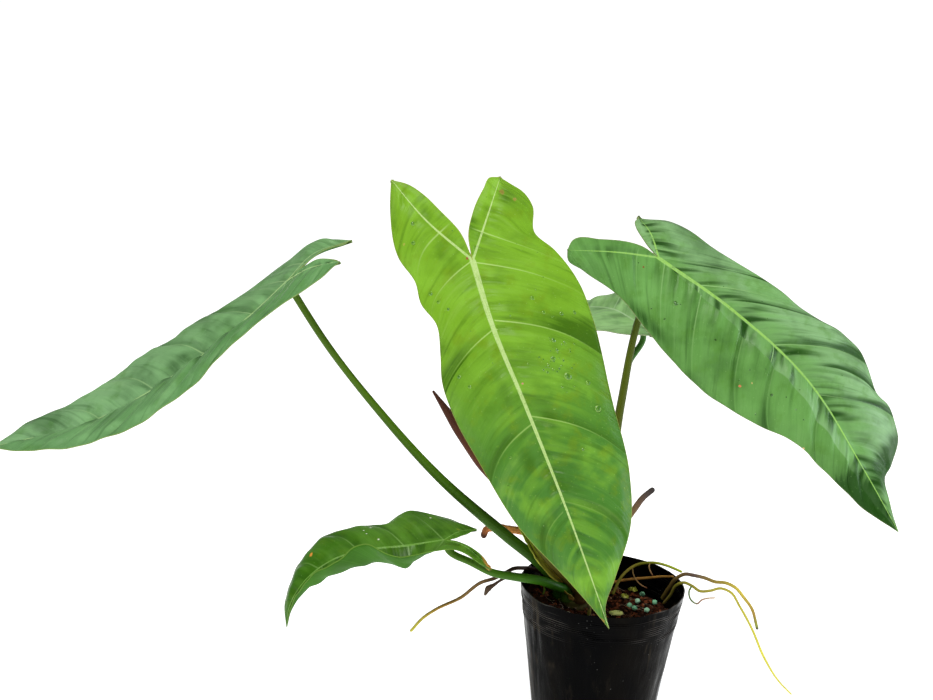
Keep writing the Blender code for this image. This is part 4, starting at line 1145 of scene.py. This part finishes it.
heap = Heap("cataphyll_spear_fine")
start = foot(105)
points = [start, start + Vector((0, 0, 0.006))]
points += [CROWN + Vector(p) for p in (
    (-0.01, 0.019, 0.028), (-0.038, 0.016, 0.062), (-0.07, 0.008, 0.095), (-0.084, 0.004, 0.114),
    (-0.11, 0.002, 0.15))]
radii = [0.8 * PETIOLE_BASE, 0.005, 0.0058, 0.0062, 0.006, 0.0045, 0.001]
sweep(heap, smooth(points, 100), radii, 40, shape=spear_shape)
stops = [
    (0.0, (0.1, 0.08, 0.02)), (0.3, (0.1, 0.04, 0.02)), (0.7, (0.13, 0.042, 0.022)),
    (1.0, (0.07, 0.022, 0.012)),
]
finish = stalk_finish("cataphyll", stops, 0.7, 0.55, 0.35, (0.05, 0.018, 0.01))
piece("cataphyll_spear_fine", heap.mesh(), "cataphyll", [finish], "cataphyll_spear")

heap = Heap("dried_cataphyll_fine")
start = foot(148)
points = [start, start + Vector((0, 0, 0.005))]
points += [CROWN + Vector(p) for p in (
    (-0.022, 0.008, 0.022), (-0.036, 0.008, 0.043), (-0.05, 0.008, 0.0455), (-0.0605, 0.006, 0.047),
    (-0.0665, 0.005, 0.0455), (-0.068, 0.005, 0.0415))]
sweep(
    heap, smooth(points, 90), [0.5 * PETIOLE_BASE, 0.0022, 0.002, 0.0022, 0.003, 0.0038, 0.003], 18,
    shape=lambda place, angle: 0.86 + 0.16 * wander(26 * place, 1.6 * cos(angle),
                                                    1.6 * sin(angle)) + 0.1 * cos(2 * angle + 9 * place),
)
stops = [
    (0.0, (0.3, 0.13, 0.04)), (0.5, (0.6, 0.27, 0.08)), (0.88, (0.88, 0.36, 0.11)),
    (0.96, (0.42, 0.14, 0.05)), (1.0, (0.06, 0.025, 0.015)),
]
finish = stalk_finish("dried cataphyll", stops, 0.8, 0.75, 0.6, (0.16, 0.06, 0.02))
piece("dried_cataphyll_fine", heap.mesh(), "dried_cataphyll", [finish], "dried_cataphyll")


# --- Roots ----------------------------------------------------------------------------
def rim_point(angle, reach, rise):
    """A place given from the pot's outer wall, at that height inside it and at the rim
    outside it, and from the rim's height."""
    turn = radians(angle)
    r = reach + (pot_wall(POT_HEIGHT + min(rise, 0.0)) if reach < 0 else POT_RADIUS)
    return Vector((r * cos(turn), r * sin(turn), POT_HEIGHT + rise))


def root_shape(seed):
    """A root's uneven girth, with faint knuckles along it."""
    def shape(place, angle):
        knuckle = 0.07 * max(0.0, wander(34 * place + seed))
        return 0.97 + knuckle + 0.06 * wander(60 * place, cos(angle) + seed, sin(angle))
    return shape


def rootlet(heap, path, share, offsets, thick, thin):
    """A hair root that leaves a root's path at a share of its length."""
    start = Vector(path[int(share * (len(path) - 1))])
    sweep(heap, smooth([start] + [start + Vector(p) for p in offsets], 16), [thick, thin], 8, 1)


TAN = [(0.0, (0.34, 0.22, 0.08)), (0.8, (0.4, 0.22, 0.1)), (1.0, (0.22, 0.08, 0.04))]
ROOTLETS = {
    "root_yellow": [
        (
            0.4,
            [
                (0.001, -0.003, -0.005), (0.004, -0.006, -0.009), (0.007, -0.008, -0.011),
                (0.011, -0.009, -0.0125),
            ],
            0.00045, 0.0005,
        ),
        (
            0.62, [(-0.001, -0.002, -0.002), (0.0, -0.004, -0.005), (0.002, -0.005, -0.008)], 0.0006,
            0.0004,
        ),
        (0.16, [(-0.0005, -0.002, -0.003), (0.0005, -0.003, -0.008)], 0.0005, 0.0004),
    ],
    "root_thick": [(0.93, [(0.001, 0.0, -0.002), (0.0015, 0.0, -0.004)], 0.0004, 0.0002)],
}
# Radii along the roots that don't taper evenly.
GIRTHS = {
    "root_shrivelled": [0.0011, 0.001, 0.0013, 0.0024, 0.0011],
    "root_long": [0.001105, 0.001105, 0.0009, 0.0009, 0.0006],
}
for number, (name, (points, thick, thin, slot, stops)) in enumerate(ROOTS.items()):
    path = smooth([rim_point(*p) for p in points], 150 if len(points) > 8 else 80)
    heap = Heap(name + "_fine")
    radii = GIRTHS.get(name, [0.86 * thick, 0.9 * thin])
    sweep(heap, path, radii, 16, shape=root_shape(3.0 * number))
    for share, offsets, start_radius, end_radius in ROOTLETS.get(name, []):
        rootlet(heap, path, share, offsets, start_radius, end_radius)
    finishes = [
        stalk_finish(name.replace("_", " "), stops, 0.6, 0.5, 0.9, (0.03, 0.02, 0.008), 1.4),
        stalk_finish(name.replace("_", " ") + " hairs", TAN, 0.3, 0.6, 0.4),
    ]
    piece(name + "_fine", heap.mesh(), slot, finishes, name)

heap = Heap("root_upright_fine")
path = smooth([CROWN + Vector((STEM_RADIUS + a, b, c)) for a, b, c in UPRIGHT_ROOT], 100)
sweep(heap, path, [0.0017, 0.0017, 0.0017, 0.0018, 0.0024, 0.0021], 16, shape=root_shape(40.0))
stops = [
    (0.0, (0.14, 0.09, 0.03)), (0.7, (0.2, 0.13, 0.05)), (0.84, (0.15, 0.09, 0.055)),
    (0.95, (0.075, 0.055, 0.05)), (1.0, (0.04, 0.03, 0.03)),
]
piece("root_upright_fine", heap.mesh(), "root_brown", [stalk_finish("upright root", stops, 0.5, 0.6, 0.8)],
      "root_upright")


# --- Pot ------------------------------------------------------------------------------
def creases(count, seed):
    """Dents in the soft wall: (angle, width, depth, middle height, reach, slant)."""
    rng = Random(seed)
    return [
        (rng.uniform(0, 2 * pi), rng.uniform(0.03, 0.1), rng.uniform(-0.0007, 0.0005),
         rng.uniform(0.02, 0.1),
         rng.uniform(0.015, 0.05), rng.uniform(-2.5, 2.5))
        for _ in range(count)
    ]


POT_STEPS, TOP_BAND = 300, 0.03  # points round the wall; the finely divided top
LINES_FROM, LINES_TO, LINE_PITCH, LINE_HEIGHT = 0.003, 0.028, 0.0016, 0.00042
NICK_ANGLE, NICK_WIDTH, NICK_DEPTH = radians(349), 0.035, 0.0022


def pot():
    """The thin wall as one open sheet that is thickened inwards, and a base disc with its
    drain holes. The rim is cut a little unevenly, and fine raised lines ring the top."""
    steps = POT_STEPS
    top_band = np.linspace(POT_HEIGHT, POT_HEIGHT - TOP_BAND, 92)
    lower = np.linspace(POT_HEIGHT - TOP_BAND, POT_CORNER, 46)[1:]
    corner = [POT_CORNER * (1 - sin(a)) for a in np.linspace(0.2, pi / 2, 5)]
    dents = creases(46, 11)
    points, line, side = [], [], []
    for z in [*top_band, *lower, *corner]:
        inset = 0.0
        if z < POT_CORNER:
            inset = POT_CORNER * (1 - (1 - ((POT_CORNER - z) / POT_CORNER) ** 2) ** 0.5)
        for j in range(steps):
            angle = 2 * pi * j / steps
            high = z / POT_HEIGHT
            r = pot_wall(z) - inset
            circle = (cos(angle), sin(angle))
            r += 0.0007 * high**2 * wander(1.5 * circle[0], 1.5 * circle[1], 9 * high)
            for at, width, depth, middle, reach, slant in dents:
                off = (angle - at - slant * (z - middle) + pi) % (2 * pi) - pi
                if abs(off) < 3 * width and z > POT_CORNER:
                    r += depth * exp(-((off / width) ** 2) - ((z - middle) / reach) ** 2)
            from_top = POT_HEIGHT - z
            # line: the rim's edge and the raised lines, painted lighter as a highlight in the film's finish
            line.append(0.7 * step(from_top, 0.0007,
                                   0.0) * (0.6 + 0.6 * wander(5 * circle[0], 5 * circle[1], 3.0)))
            if LINES_FROM < from_top < LINES_TO:
                lines = max(0.0, sin(2 * pi * from_top / LINE_PITCH)) ** 2
                group = 0.35 + 0.35 * abs(circle[0]) + 1.1 * wander(3 * circle[0], 3 * circle[1],
                                                                    240 * from_top)
                line[-1] = lines * max(0.0, group) * step(from_top, LINES_FROM, 0.006) * step(from_top,
                                                                                              LINES_TO,
                                                                                              0.022)
                r += LINE_HEIGHT * line[-1]
            near_rim = exp(-((from_top / 0.012) ** 2))
            wave = 0.0011 * wander(2.6 * circle[0], 2.6 * circle[1], 4.0)
            wave += 0.0004 * wander(9 * circle[0], 9 * circle[1], 7.0)
            wave -= NICK_DEPTH * exp(-(((angle - NICK_ANGLE + pi) % (2 * pi) - pi) / NICK_WIDTH) ** 2)
            points.append((r * circle[0], r * circle[1], z + wave * near_rim))
            # side: how far the wall faces left or right, where the finish lays its painted sheen and line
            # highlights
            side.append(abs(circle[0]))
    rows = len(points) // steps
    heap = Heap("wall")
    heap.add(points, list(grid_faces(rows, steps, turned=True, closed=True)), line=line, side=side)
    wall = bpy.data.objects.new("wall", heap.mesh())
    bpy.context.scene.collection.objects.link(wall)
    solid = wall.modifiers.new("Thickness", "SOLIDIFY")
    solid.thickness = POT_WALL
    solid.offset = -1.0
    disc = bpy.data.curves.new("base", "CURVE")
    disc.dimensions = "2D"
    disc.fill_mode = "BOTH"
    disc.extrude = POT_WALL / 2
    circles = [(0.0, 0.0, POT_BASE_RADIUS - 0.6 * POT_CORNER)]
    for k in range(DRAIN_COUNT):
        turn = radians(30 + 360 * k / DRAIN_COUNT)
        circles.append((DRAIN_CIRCLE * cos(turn), DRAIN_CIRCLE * sin(turn), DRAIN_RADIUS))
    for x, y, r in circles:
        spline = disc.splines.new("POLY")
        sides = 96 if r > 2 * DRAIN_RADIUS else 32
        spline.points.add(sides - 1)
        for j in range(sides):
            turn = 2 * pi * j / sides
            spline.points[j].co = (x + r * cos(turn), y + r * sin(turn), 0.0, 1.0)
        spline.use_cyclic_u = True
    base = bpy.data.objects.new("base", disc)
    bpy.context.scene.collection.objects.link(base)
    graph = bpy.context.evaluated_depsgraph_get()
    meshes = [bpy.data.meshes.new_from_object(o.evaluated_get(graph)) for o in (wall, base)]
    meshes[1].transform(Matrix.Translation((0, 0, POT_WALL / 2)))
    bpy.data.objects.remove(wall)
    bpy.data.objects.remove(base)
    mesh = join(*meshes)
    mesh.materials.clear()
    mesh.polygons.foreach_set("material_index", [0] * len(mesh.polygons))
    mesh.set_sharp_from_angle(angle=radians(40))
    piece("nursery_pot_fine", mesh, "pot_film", [film_finish()], "nursery_pot")


pot()


# --- Soil, stem and the loose pieces --------------------------------------------------
def lumpy(centre, size, seed, detail=2, rough=0.35, turn=None):
    """A rough grain: a ball, stretched, turned and worn unevenly. (points, faces)"""
    made = bmesh.new()
    bmesh.ops.create_icosphere(made, subdivisions=detail, radius=1.0)
    points = []
    for v in made.verts:
        worn = 1 + rough * wander(1.6 * v.co.x + seed, 1.6 * v.co.y, 1.6 * v.co.z)
        worn += 0.4 * rough * wander(4.3 * v.co.x, 4.3 * v.co.y + seed, 4.3 * v.co.z)
        local = Vector((v.co.x * size[0], v.co.y * size[1], v.co.z * size[2])) * worn
        if turn:
            local.rotate(turn)
        points.append(Vector(centre) + local)
    faces = [tuple(v.index for v in face.verts) for face in made.faces]
    made.free()
    return points, faces


def splinter(centre, size, seed, turn):
    """A flat flake of bark with broken edges. (points, faces)"""
    columns, points = 9, []
    for level in (-0.5, 0.5):
        for i in range(columns):
            for j in range(5):
                u, v = i / (columns - 1) - 0.5, j / 4 - 0.5
                taper = (1 - 0.45 * abs(2 * u) ** 3) * (1 + 0.25 * wander(5 * u + seed, level))
                bow = 0.5 * size[2] * wander(2.5 * u, 2.0 * v, seed)
                edge = 1 - 0.6 * max(abs(2 * u), abs(2 * v)) ** 6
                local = Vector((
                    u * size[0] * (1 + 0.12 * wander(6 * v, seed)), v * size[1] * taper,
                    level * size[2] * edge * (1 + 0.5 * wander(7 * u, 7 * v, seed + level)) + bow,
                ))
                local.rotate(turn)
                points.append(Vector(centre) + local)
    sheet = columns * 5
    faces = list(grid_faces(columns, 5, turned=True))
    faces = [face[::-1] for face in faces] + [tuple(sheet + i for i in face) for face in faces]
    outline = [i * 5 for i in range(columns)] + [(columns - 1) * 5 + j for j in range(1, 5)]
    outline += [i * 5 + 4 for i in range(columns - 2, -1, -1)] + [3, 2, 1]
    for a, b in zip(outline, outline[1:] + outline[:1]):
        faces.append((a, b, sheet + b, sheet + a))
    return points, faces


# the near-black low end is painted shade for the soil's shadowed gaps
EARTH = [
    (0.2, (0.004, 0.002, 0.001)), (0.42, (0.03, 0.009, 0.005)), (0.62, (0.11, 0.03, 0.014)),
    (0.8, (0.32, 0.13, 0.06)), (0.95, (0.85, 0.66, 0.46)),
]
BARK = [
    (0.15, (0.012, 0.004, 0.003)), (0.45, (0.1, 0.024, 0.01)), (0.8, (0.24, 0.065, 0.025)),
    (1.0, (0.48, 0.26, 0.15)),
]
FIBRE = [(0.0, (0.2, 0.13, 0.08)), (0.6, (0.42, 0.32, 0.23)), (1.0, (0.68, 0.58, 0.46))]


CRUMBS, FIBRES = 520, 48


def soil():
    """Lumpy earth to its mounded top, with crumbs, bark flakes and pale fibres on it."""
    rng = Random(3)
    heap = Heap("soil_fine")
    inside = POT_WALL + SOIL_SIDE_GAP + SIDE_MARGIN
    rings, steps = 70, 160
    points, tone = [], []
    for i in range(rings + 1):
        share = max(i / rings, 0.001)
        for j in range(steps):
            turn = 2 * pi * j / steps
            r = share * (pot_wall(POT_HEIGHT - SOIL_DROP) - inside)
            z = soil_height(r * cos(turn), r * sin(turn))
            r = share * (pot_wall(z) - inside)
            x, y = r * cos(turn), r * sin(turn)
            lump = wander(180 * x, 180 * y, 2.0) + 0.6 * wander(420 * x, 420 * y,
                                                                5.0) + 0.4 * wander(900 * x, 900 * y)
            points.append((x, y, z + 0.0017 * lump - 0.0006))
            # painted shade: the tone is darker in the soil's dips and lighter on its rises
            tone.append(0.35 + 0.25 * lump)
    for z in (0.6 * (POT_HEIGHT - SOIL_DROP), POT_CORNER + POT_WALL, POT_WALL + GAP):
        r = pot_wall(z) - inside - (POT_CORNER if z < POT_CORNER else 0.0)
        points += [(r * cos(2 * pi * j / steps), r * sin(2 * pi * j / steps), z) for j in range(steps)]
        tone += [0.2] * steps
    points += [(0.0, 0.0, POT_WALL + GAP)]
    tone += [0.2]
    rows = rings + 4
    faces = list(grid_faces(rows, steps, closed=True))
    last = (rows - 1) * steps
    faces += [(len(points) - 1, last + (j + 1) % steps, last + j) for j in range(steps)]
    heap.add(points, faces, 0, tone=tone)
    for _ in range(CRUMBS):
        turn, share = rng.uniform(0, 2 * pi), rng.random() ** 0.5 * 0.97
        r = share * (pot_wall(POT_HEIGHT - SOIL_DROP) - inside - 0.002)
        x, y = r * cos(turn), r * sin(turn)
        if hypot(x - CROWN.x, y - CROWN.y) < STEM_RADIUS:
            continue
        size = rng.uniform(0.0006, 0.0025)
        spin = Euler((rng.uniform(-0.6, 0.6), rng.uniform(-0.6, 0.6), rng.uniform(0, 2 * pi)))
        if rng.random() < 0.35:
            flake = (size * rng.uniform(2.0, 4.0), size * 1.6, size * 0.5)
            made = splinter((x, y, soil_height(x, y) + 0.3 * size), flake, rng.uniform(0, 50), spin)
            heap.add(*made, 1, tone=rng.uniform(0.1, 1.0))
        else:
            made = lumpy((x, y, soil_height(x, y)), (size, size * 0.8, size * 0.6), rng.uniform(0, 50), 2,
                         0.5, spin)
            heap.add(*made, 1 if rng.random() < 0.5 else 0, tone=rng.uniform(0.0, 0.9))
    for _ in range(FIBRES):
        turn, share = rng.uniform(0, 2 * pi), rng.random() ** 0.5 * 0.88
        r = share * (pot_wall(POT_HEIGHT - SOIL_DROP) - inside)
        x, y, heading = r * cos(turn), r * sin(turn), rng.uniform(0, 2 * pi)
        spots = []
        for k in range(5):
            spots.append((x, y, soil_height(x, y) + 0.0012 + 0.0012 * sin(k * 1.1 + heading)))
            heading += rng.uniform(-0.7, 0.7)
            x, y = x + 0.0022 * cos(heading), y + 0.0022 * sin(heading)
            if hypot(x, y) > 0.94 * (pot_wall(POT_HEIGHT - SOIL_DROP) - inside):
                break
        if len(spots) > 2:
            sweep(heap, smooth(spots, 12), [0.00022, 0.00012], 5, 2, tone=rng.random())
    finishes = [earth_finish("soil", EARTH), earth_finish("bark crumbs", BARK, 600),
                earth_finish("fibres", FIBRE, 300, 0.7)]
    piece("soil_fine", heap.mesh(), "soil", finishes, "soil")


soil()


def stem():
    """The short stock: ringed with old petiole scars, fibrous at the top."""
    heap = Heap("stem_fine")
    path = [(CROWN.x, CROWN.y, z) for z in np.linspace(STEM_LOW.z, STEM_HIGH.z - 0.0008, 50)]
    def shape(place, angle):
        scars = 0.03 * sin(46 * place + 0.8 * sin(angle))
        return 0.93 + scars + 0.05 * wander(3 * cos(angle), 3 * sin(angle), 9 * place)
    sweep(heap, path, [0.7 * STEM_RADIUS, STEM_RADIUS, STEM_RADIUS, STEM_RADIUS, 0.92 * STEM_RADIUS], 48,
          shape=shape, round_end=False)
    stops = [(0.0, (0.06, 0.03, 0.015)), (0.8, (0.1, 0.06, 0.02)), (1.0, (0.12, 0.12, 0.03))]
    piece("stem_fine", heap.mesh(), "stem", [stalk_finish("stem", stops, 0.6, 0.65, 0.6)], "stem")


stem()


def middle_of(node):
    """Centre and half sizes of a CAD node."""
    low, high = (Vector(corner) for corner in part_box(node))
    return (low + high) / 2, (high - low) / 2


def loose_pieces():
    """Fertiliser pellets, moss, bark chips and a pale chip, each where its solid rests."""
    rng = Random(8)
    green = [(0.2, (0.08, 0.34, 0.17)), (0.45, (0.28, 0.66, 0.4)), (0.7, (0.48, 0.84, 0.58)),
             (1.0, (0.85, 0.95, 0.88))]
    moss = [(0.15, (0.1, 0.12, 0.01)), (0.4, (0.34, 0.38, 0.03)), (0.65, (0.62, 0.62, 0.1)),
            (1.0, (0.85, 0.82, 0.4))]
    pale = [(0.2, (0.55, 0.62, 0.08)), (0.5, (0.9, 0.94, 0.24)), (0.8, (0.98, 0.98, 0.5)),
            (1.0, (1.0, 1.0, 0.85))]
    pellet, clump = earth_finish("fertiliser", green, 500, 0.5), earth_finish("moss", moss, 500, 0.85)
    chip, light = earth_finish("bark", BARK, 500, 0.85), earth_finish("pale chip", pale, 400, 0.7)
    for k in range(1, 7):
        name = "feed_pellet_%d" % k
        centre, half = middle_of(name)
        heap = Heap(name + "_fine")
        heap.add(*lumpy(centre, (half.x * 0.92, half.y * 0.92, half.z * 0.95), 7.0 * k, 4, 0.14), 0,
                 tone=rng.uniform(0.3, 0.8))
        piece(name + "_fine", heap.mesh(), "fertiliser", [pellet], name)
    for k in (1, 2):
        name = "moss_clump_%d" % k
        centre, half = middle_of(name)
        heap = Heap(name + "_fine")
        for _ in range(26):
            turn, rise, out = rng.uniform(0, 2 * pi), rng.uniform(-0.6, 1.0), rng.uniform(0.2, 0.85)
            spot = centre + Vector((half.x * out * cos(turn), half.y * out * sin(turn),
                                    half.z * rise * 0.8 * (1.1 - out)))
            size = rng.uniform(0.0006, 0.0014)
            heap.add(*lumpy(spot, (size, size, size * 0.8), rng.uniform(0, 40), 2, 0.5), 0,
                     tone=rng.uniform(0.1, 1.0))
        piece(name + "_fine", heap.mesh(), "moss", [clump], name)
    chips = {"bark_chip_1": 70, "bark_chip_2": 20, "bark_chip_3": 160, "bark_chip_4": 35, "bark_chip_5": 0,
             "pale_chip": 8}
    sizes = {"bark_chip_1": (0.012, 0.007, 0.003), "bark_chip_2": (0.01, 0.006, 0.003),
             "bark_chip_3": (0.013, 0.006, 0.0025),
             "bark_chip_4": (0.011, 0.006, 0.0025), "bark_chip_5": (0.012, 0.007, 0.003),
             "pale_chip": (0.01, 0.007, 0.002)}
    for number, (name, turn) in enumerate(chips.items()):
        centre, half = middle_of(name)
        heap = Heap(name + "_fine")
        made = splinter(centre, sizes[name], 4.0 * number, Euler((0, 0, radians(turn))))
        heap.add(*made, 0, tone=rng.uniform(0.3, 0.8))
        is_pale = name == "pale_chip"
        piece(name + "_fine", heap.mesh(), "moss" if is_pale else "bark", [light if is_pale else chip],
              name)
    for name, slot, stops in (
        ("root_stub", "root_yellow", [(0.0, OLIVE), (0.6, (0.4, 0.34, 0.08)), (1.0, (0.16, 0.12, 0.05))]),
        ("sprout", "moss", [(0.0, (0.16, 0.26, 0.03)), (1.0, (0.36, 0.55, 0.06))]),
    ):
        low, high = (Vector(corner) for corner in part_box(name))
        centre, half = middle_of(name)
        radius = 0.0014 if name == "root_stub" else 0.0008
        path = smooth([(centre.x, high.y - radius, low.z), (centre.x + 0.0004, centre.y, centre.z),
                       (centre.x - 0.0004, low.y + radius, high.z - radius)], 30)
        heap = Heap(name + "_fine")
        sweep(heap, path, [radius, 0.85 * radius], 14, shape=root_shape(6.0 * radius * 1000))
        piece(name + "_fine", heap.mesh(), slot, [stalk_finish(name.replace("_", " "), stops, 0.5, 0.6,
                                                               0.7)], name)


loose_pieces()

# --- Floor and light ------------------------------------------------------------------
FLOOR_HALF = 9.0
mesh = bpy.data.meshes.new("floor")
mesh.from_pydata(
    [(FLOOR_HALF * x, FLOOR_HALF * y, 0) for x, y in ((-1, -1), (1, -1), (1, 1), (-1, 1))],
    [],
    [(0, 1, 2, 3)],
)
floor = bpy.data.objects.new("floor", mesh)
bpy.context.scene.collection.objects.link(floor)
f = Finish("floor", Specular_IOR_Level=0.0, Roughness=1.0)
shade = f.mix(f.step(f.noise(f.place(), 3.0), 0.3, 0.7), (0.9, 0.9, 0.9), (0.92, 0.92, 0.92))
f.shader.inputs["Emission Color"].default_value = (1.0, 1.0, 1.0, 1.0)
f.shader.inputs["Emission Strength"].default_value = 0.85
mesh.materials.append(f.done(shade))

world = bpy.data.worlds.new("studio")
bpy.context.scene.world = world
world.use_nodes = True
sky = world.node_tree.nodes["Background"]
sky.inputs["Color"].default_value = (0.97, 0.98, 1.0, 1.0)
sky.inputs["Strength"].default_value = 0.2


def lamp(name, place, aim, size, power, colour):
    """A soft rectangular light."""
    data = bpy.data.lights.new(name, "AREA")
    data.shape = "RECTANGLE"
    data.size, data.size_y = size
    data.energy = power
    data.color = colour
    made = bpy.data.objects.new(name, data)
    bpy.context.scene.collection.objects.link(made)
    made.location = place
    made.rotation_euler = (Vector(aim) - Vector(place)).to_track_quat("-Z", "Y").to_euler()


MIDDLE = (-0.05, 0.0, 0.25)
lamp("key", (-0.4, -0.8, 2.3), MIDDLE, (0.7, 0.7), 40.0, (1.0, 0.98, 0.94))
lamp("front", (0.3, -2.3, 1.1), MIDDLE, (0.9, 0.9), 6.5, (0.97, 0.98, 1.0))
lamp("strip", (1.3, 0.1, 0.35), (0.0, 0.0, 0.1), (0.25, 0.9), 9.0, (0.82, 0.9, 1.0))

bpy.context.scene.view_settings.view_transform = "Standard"
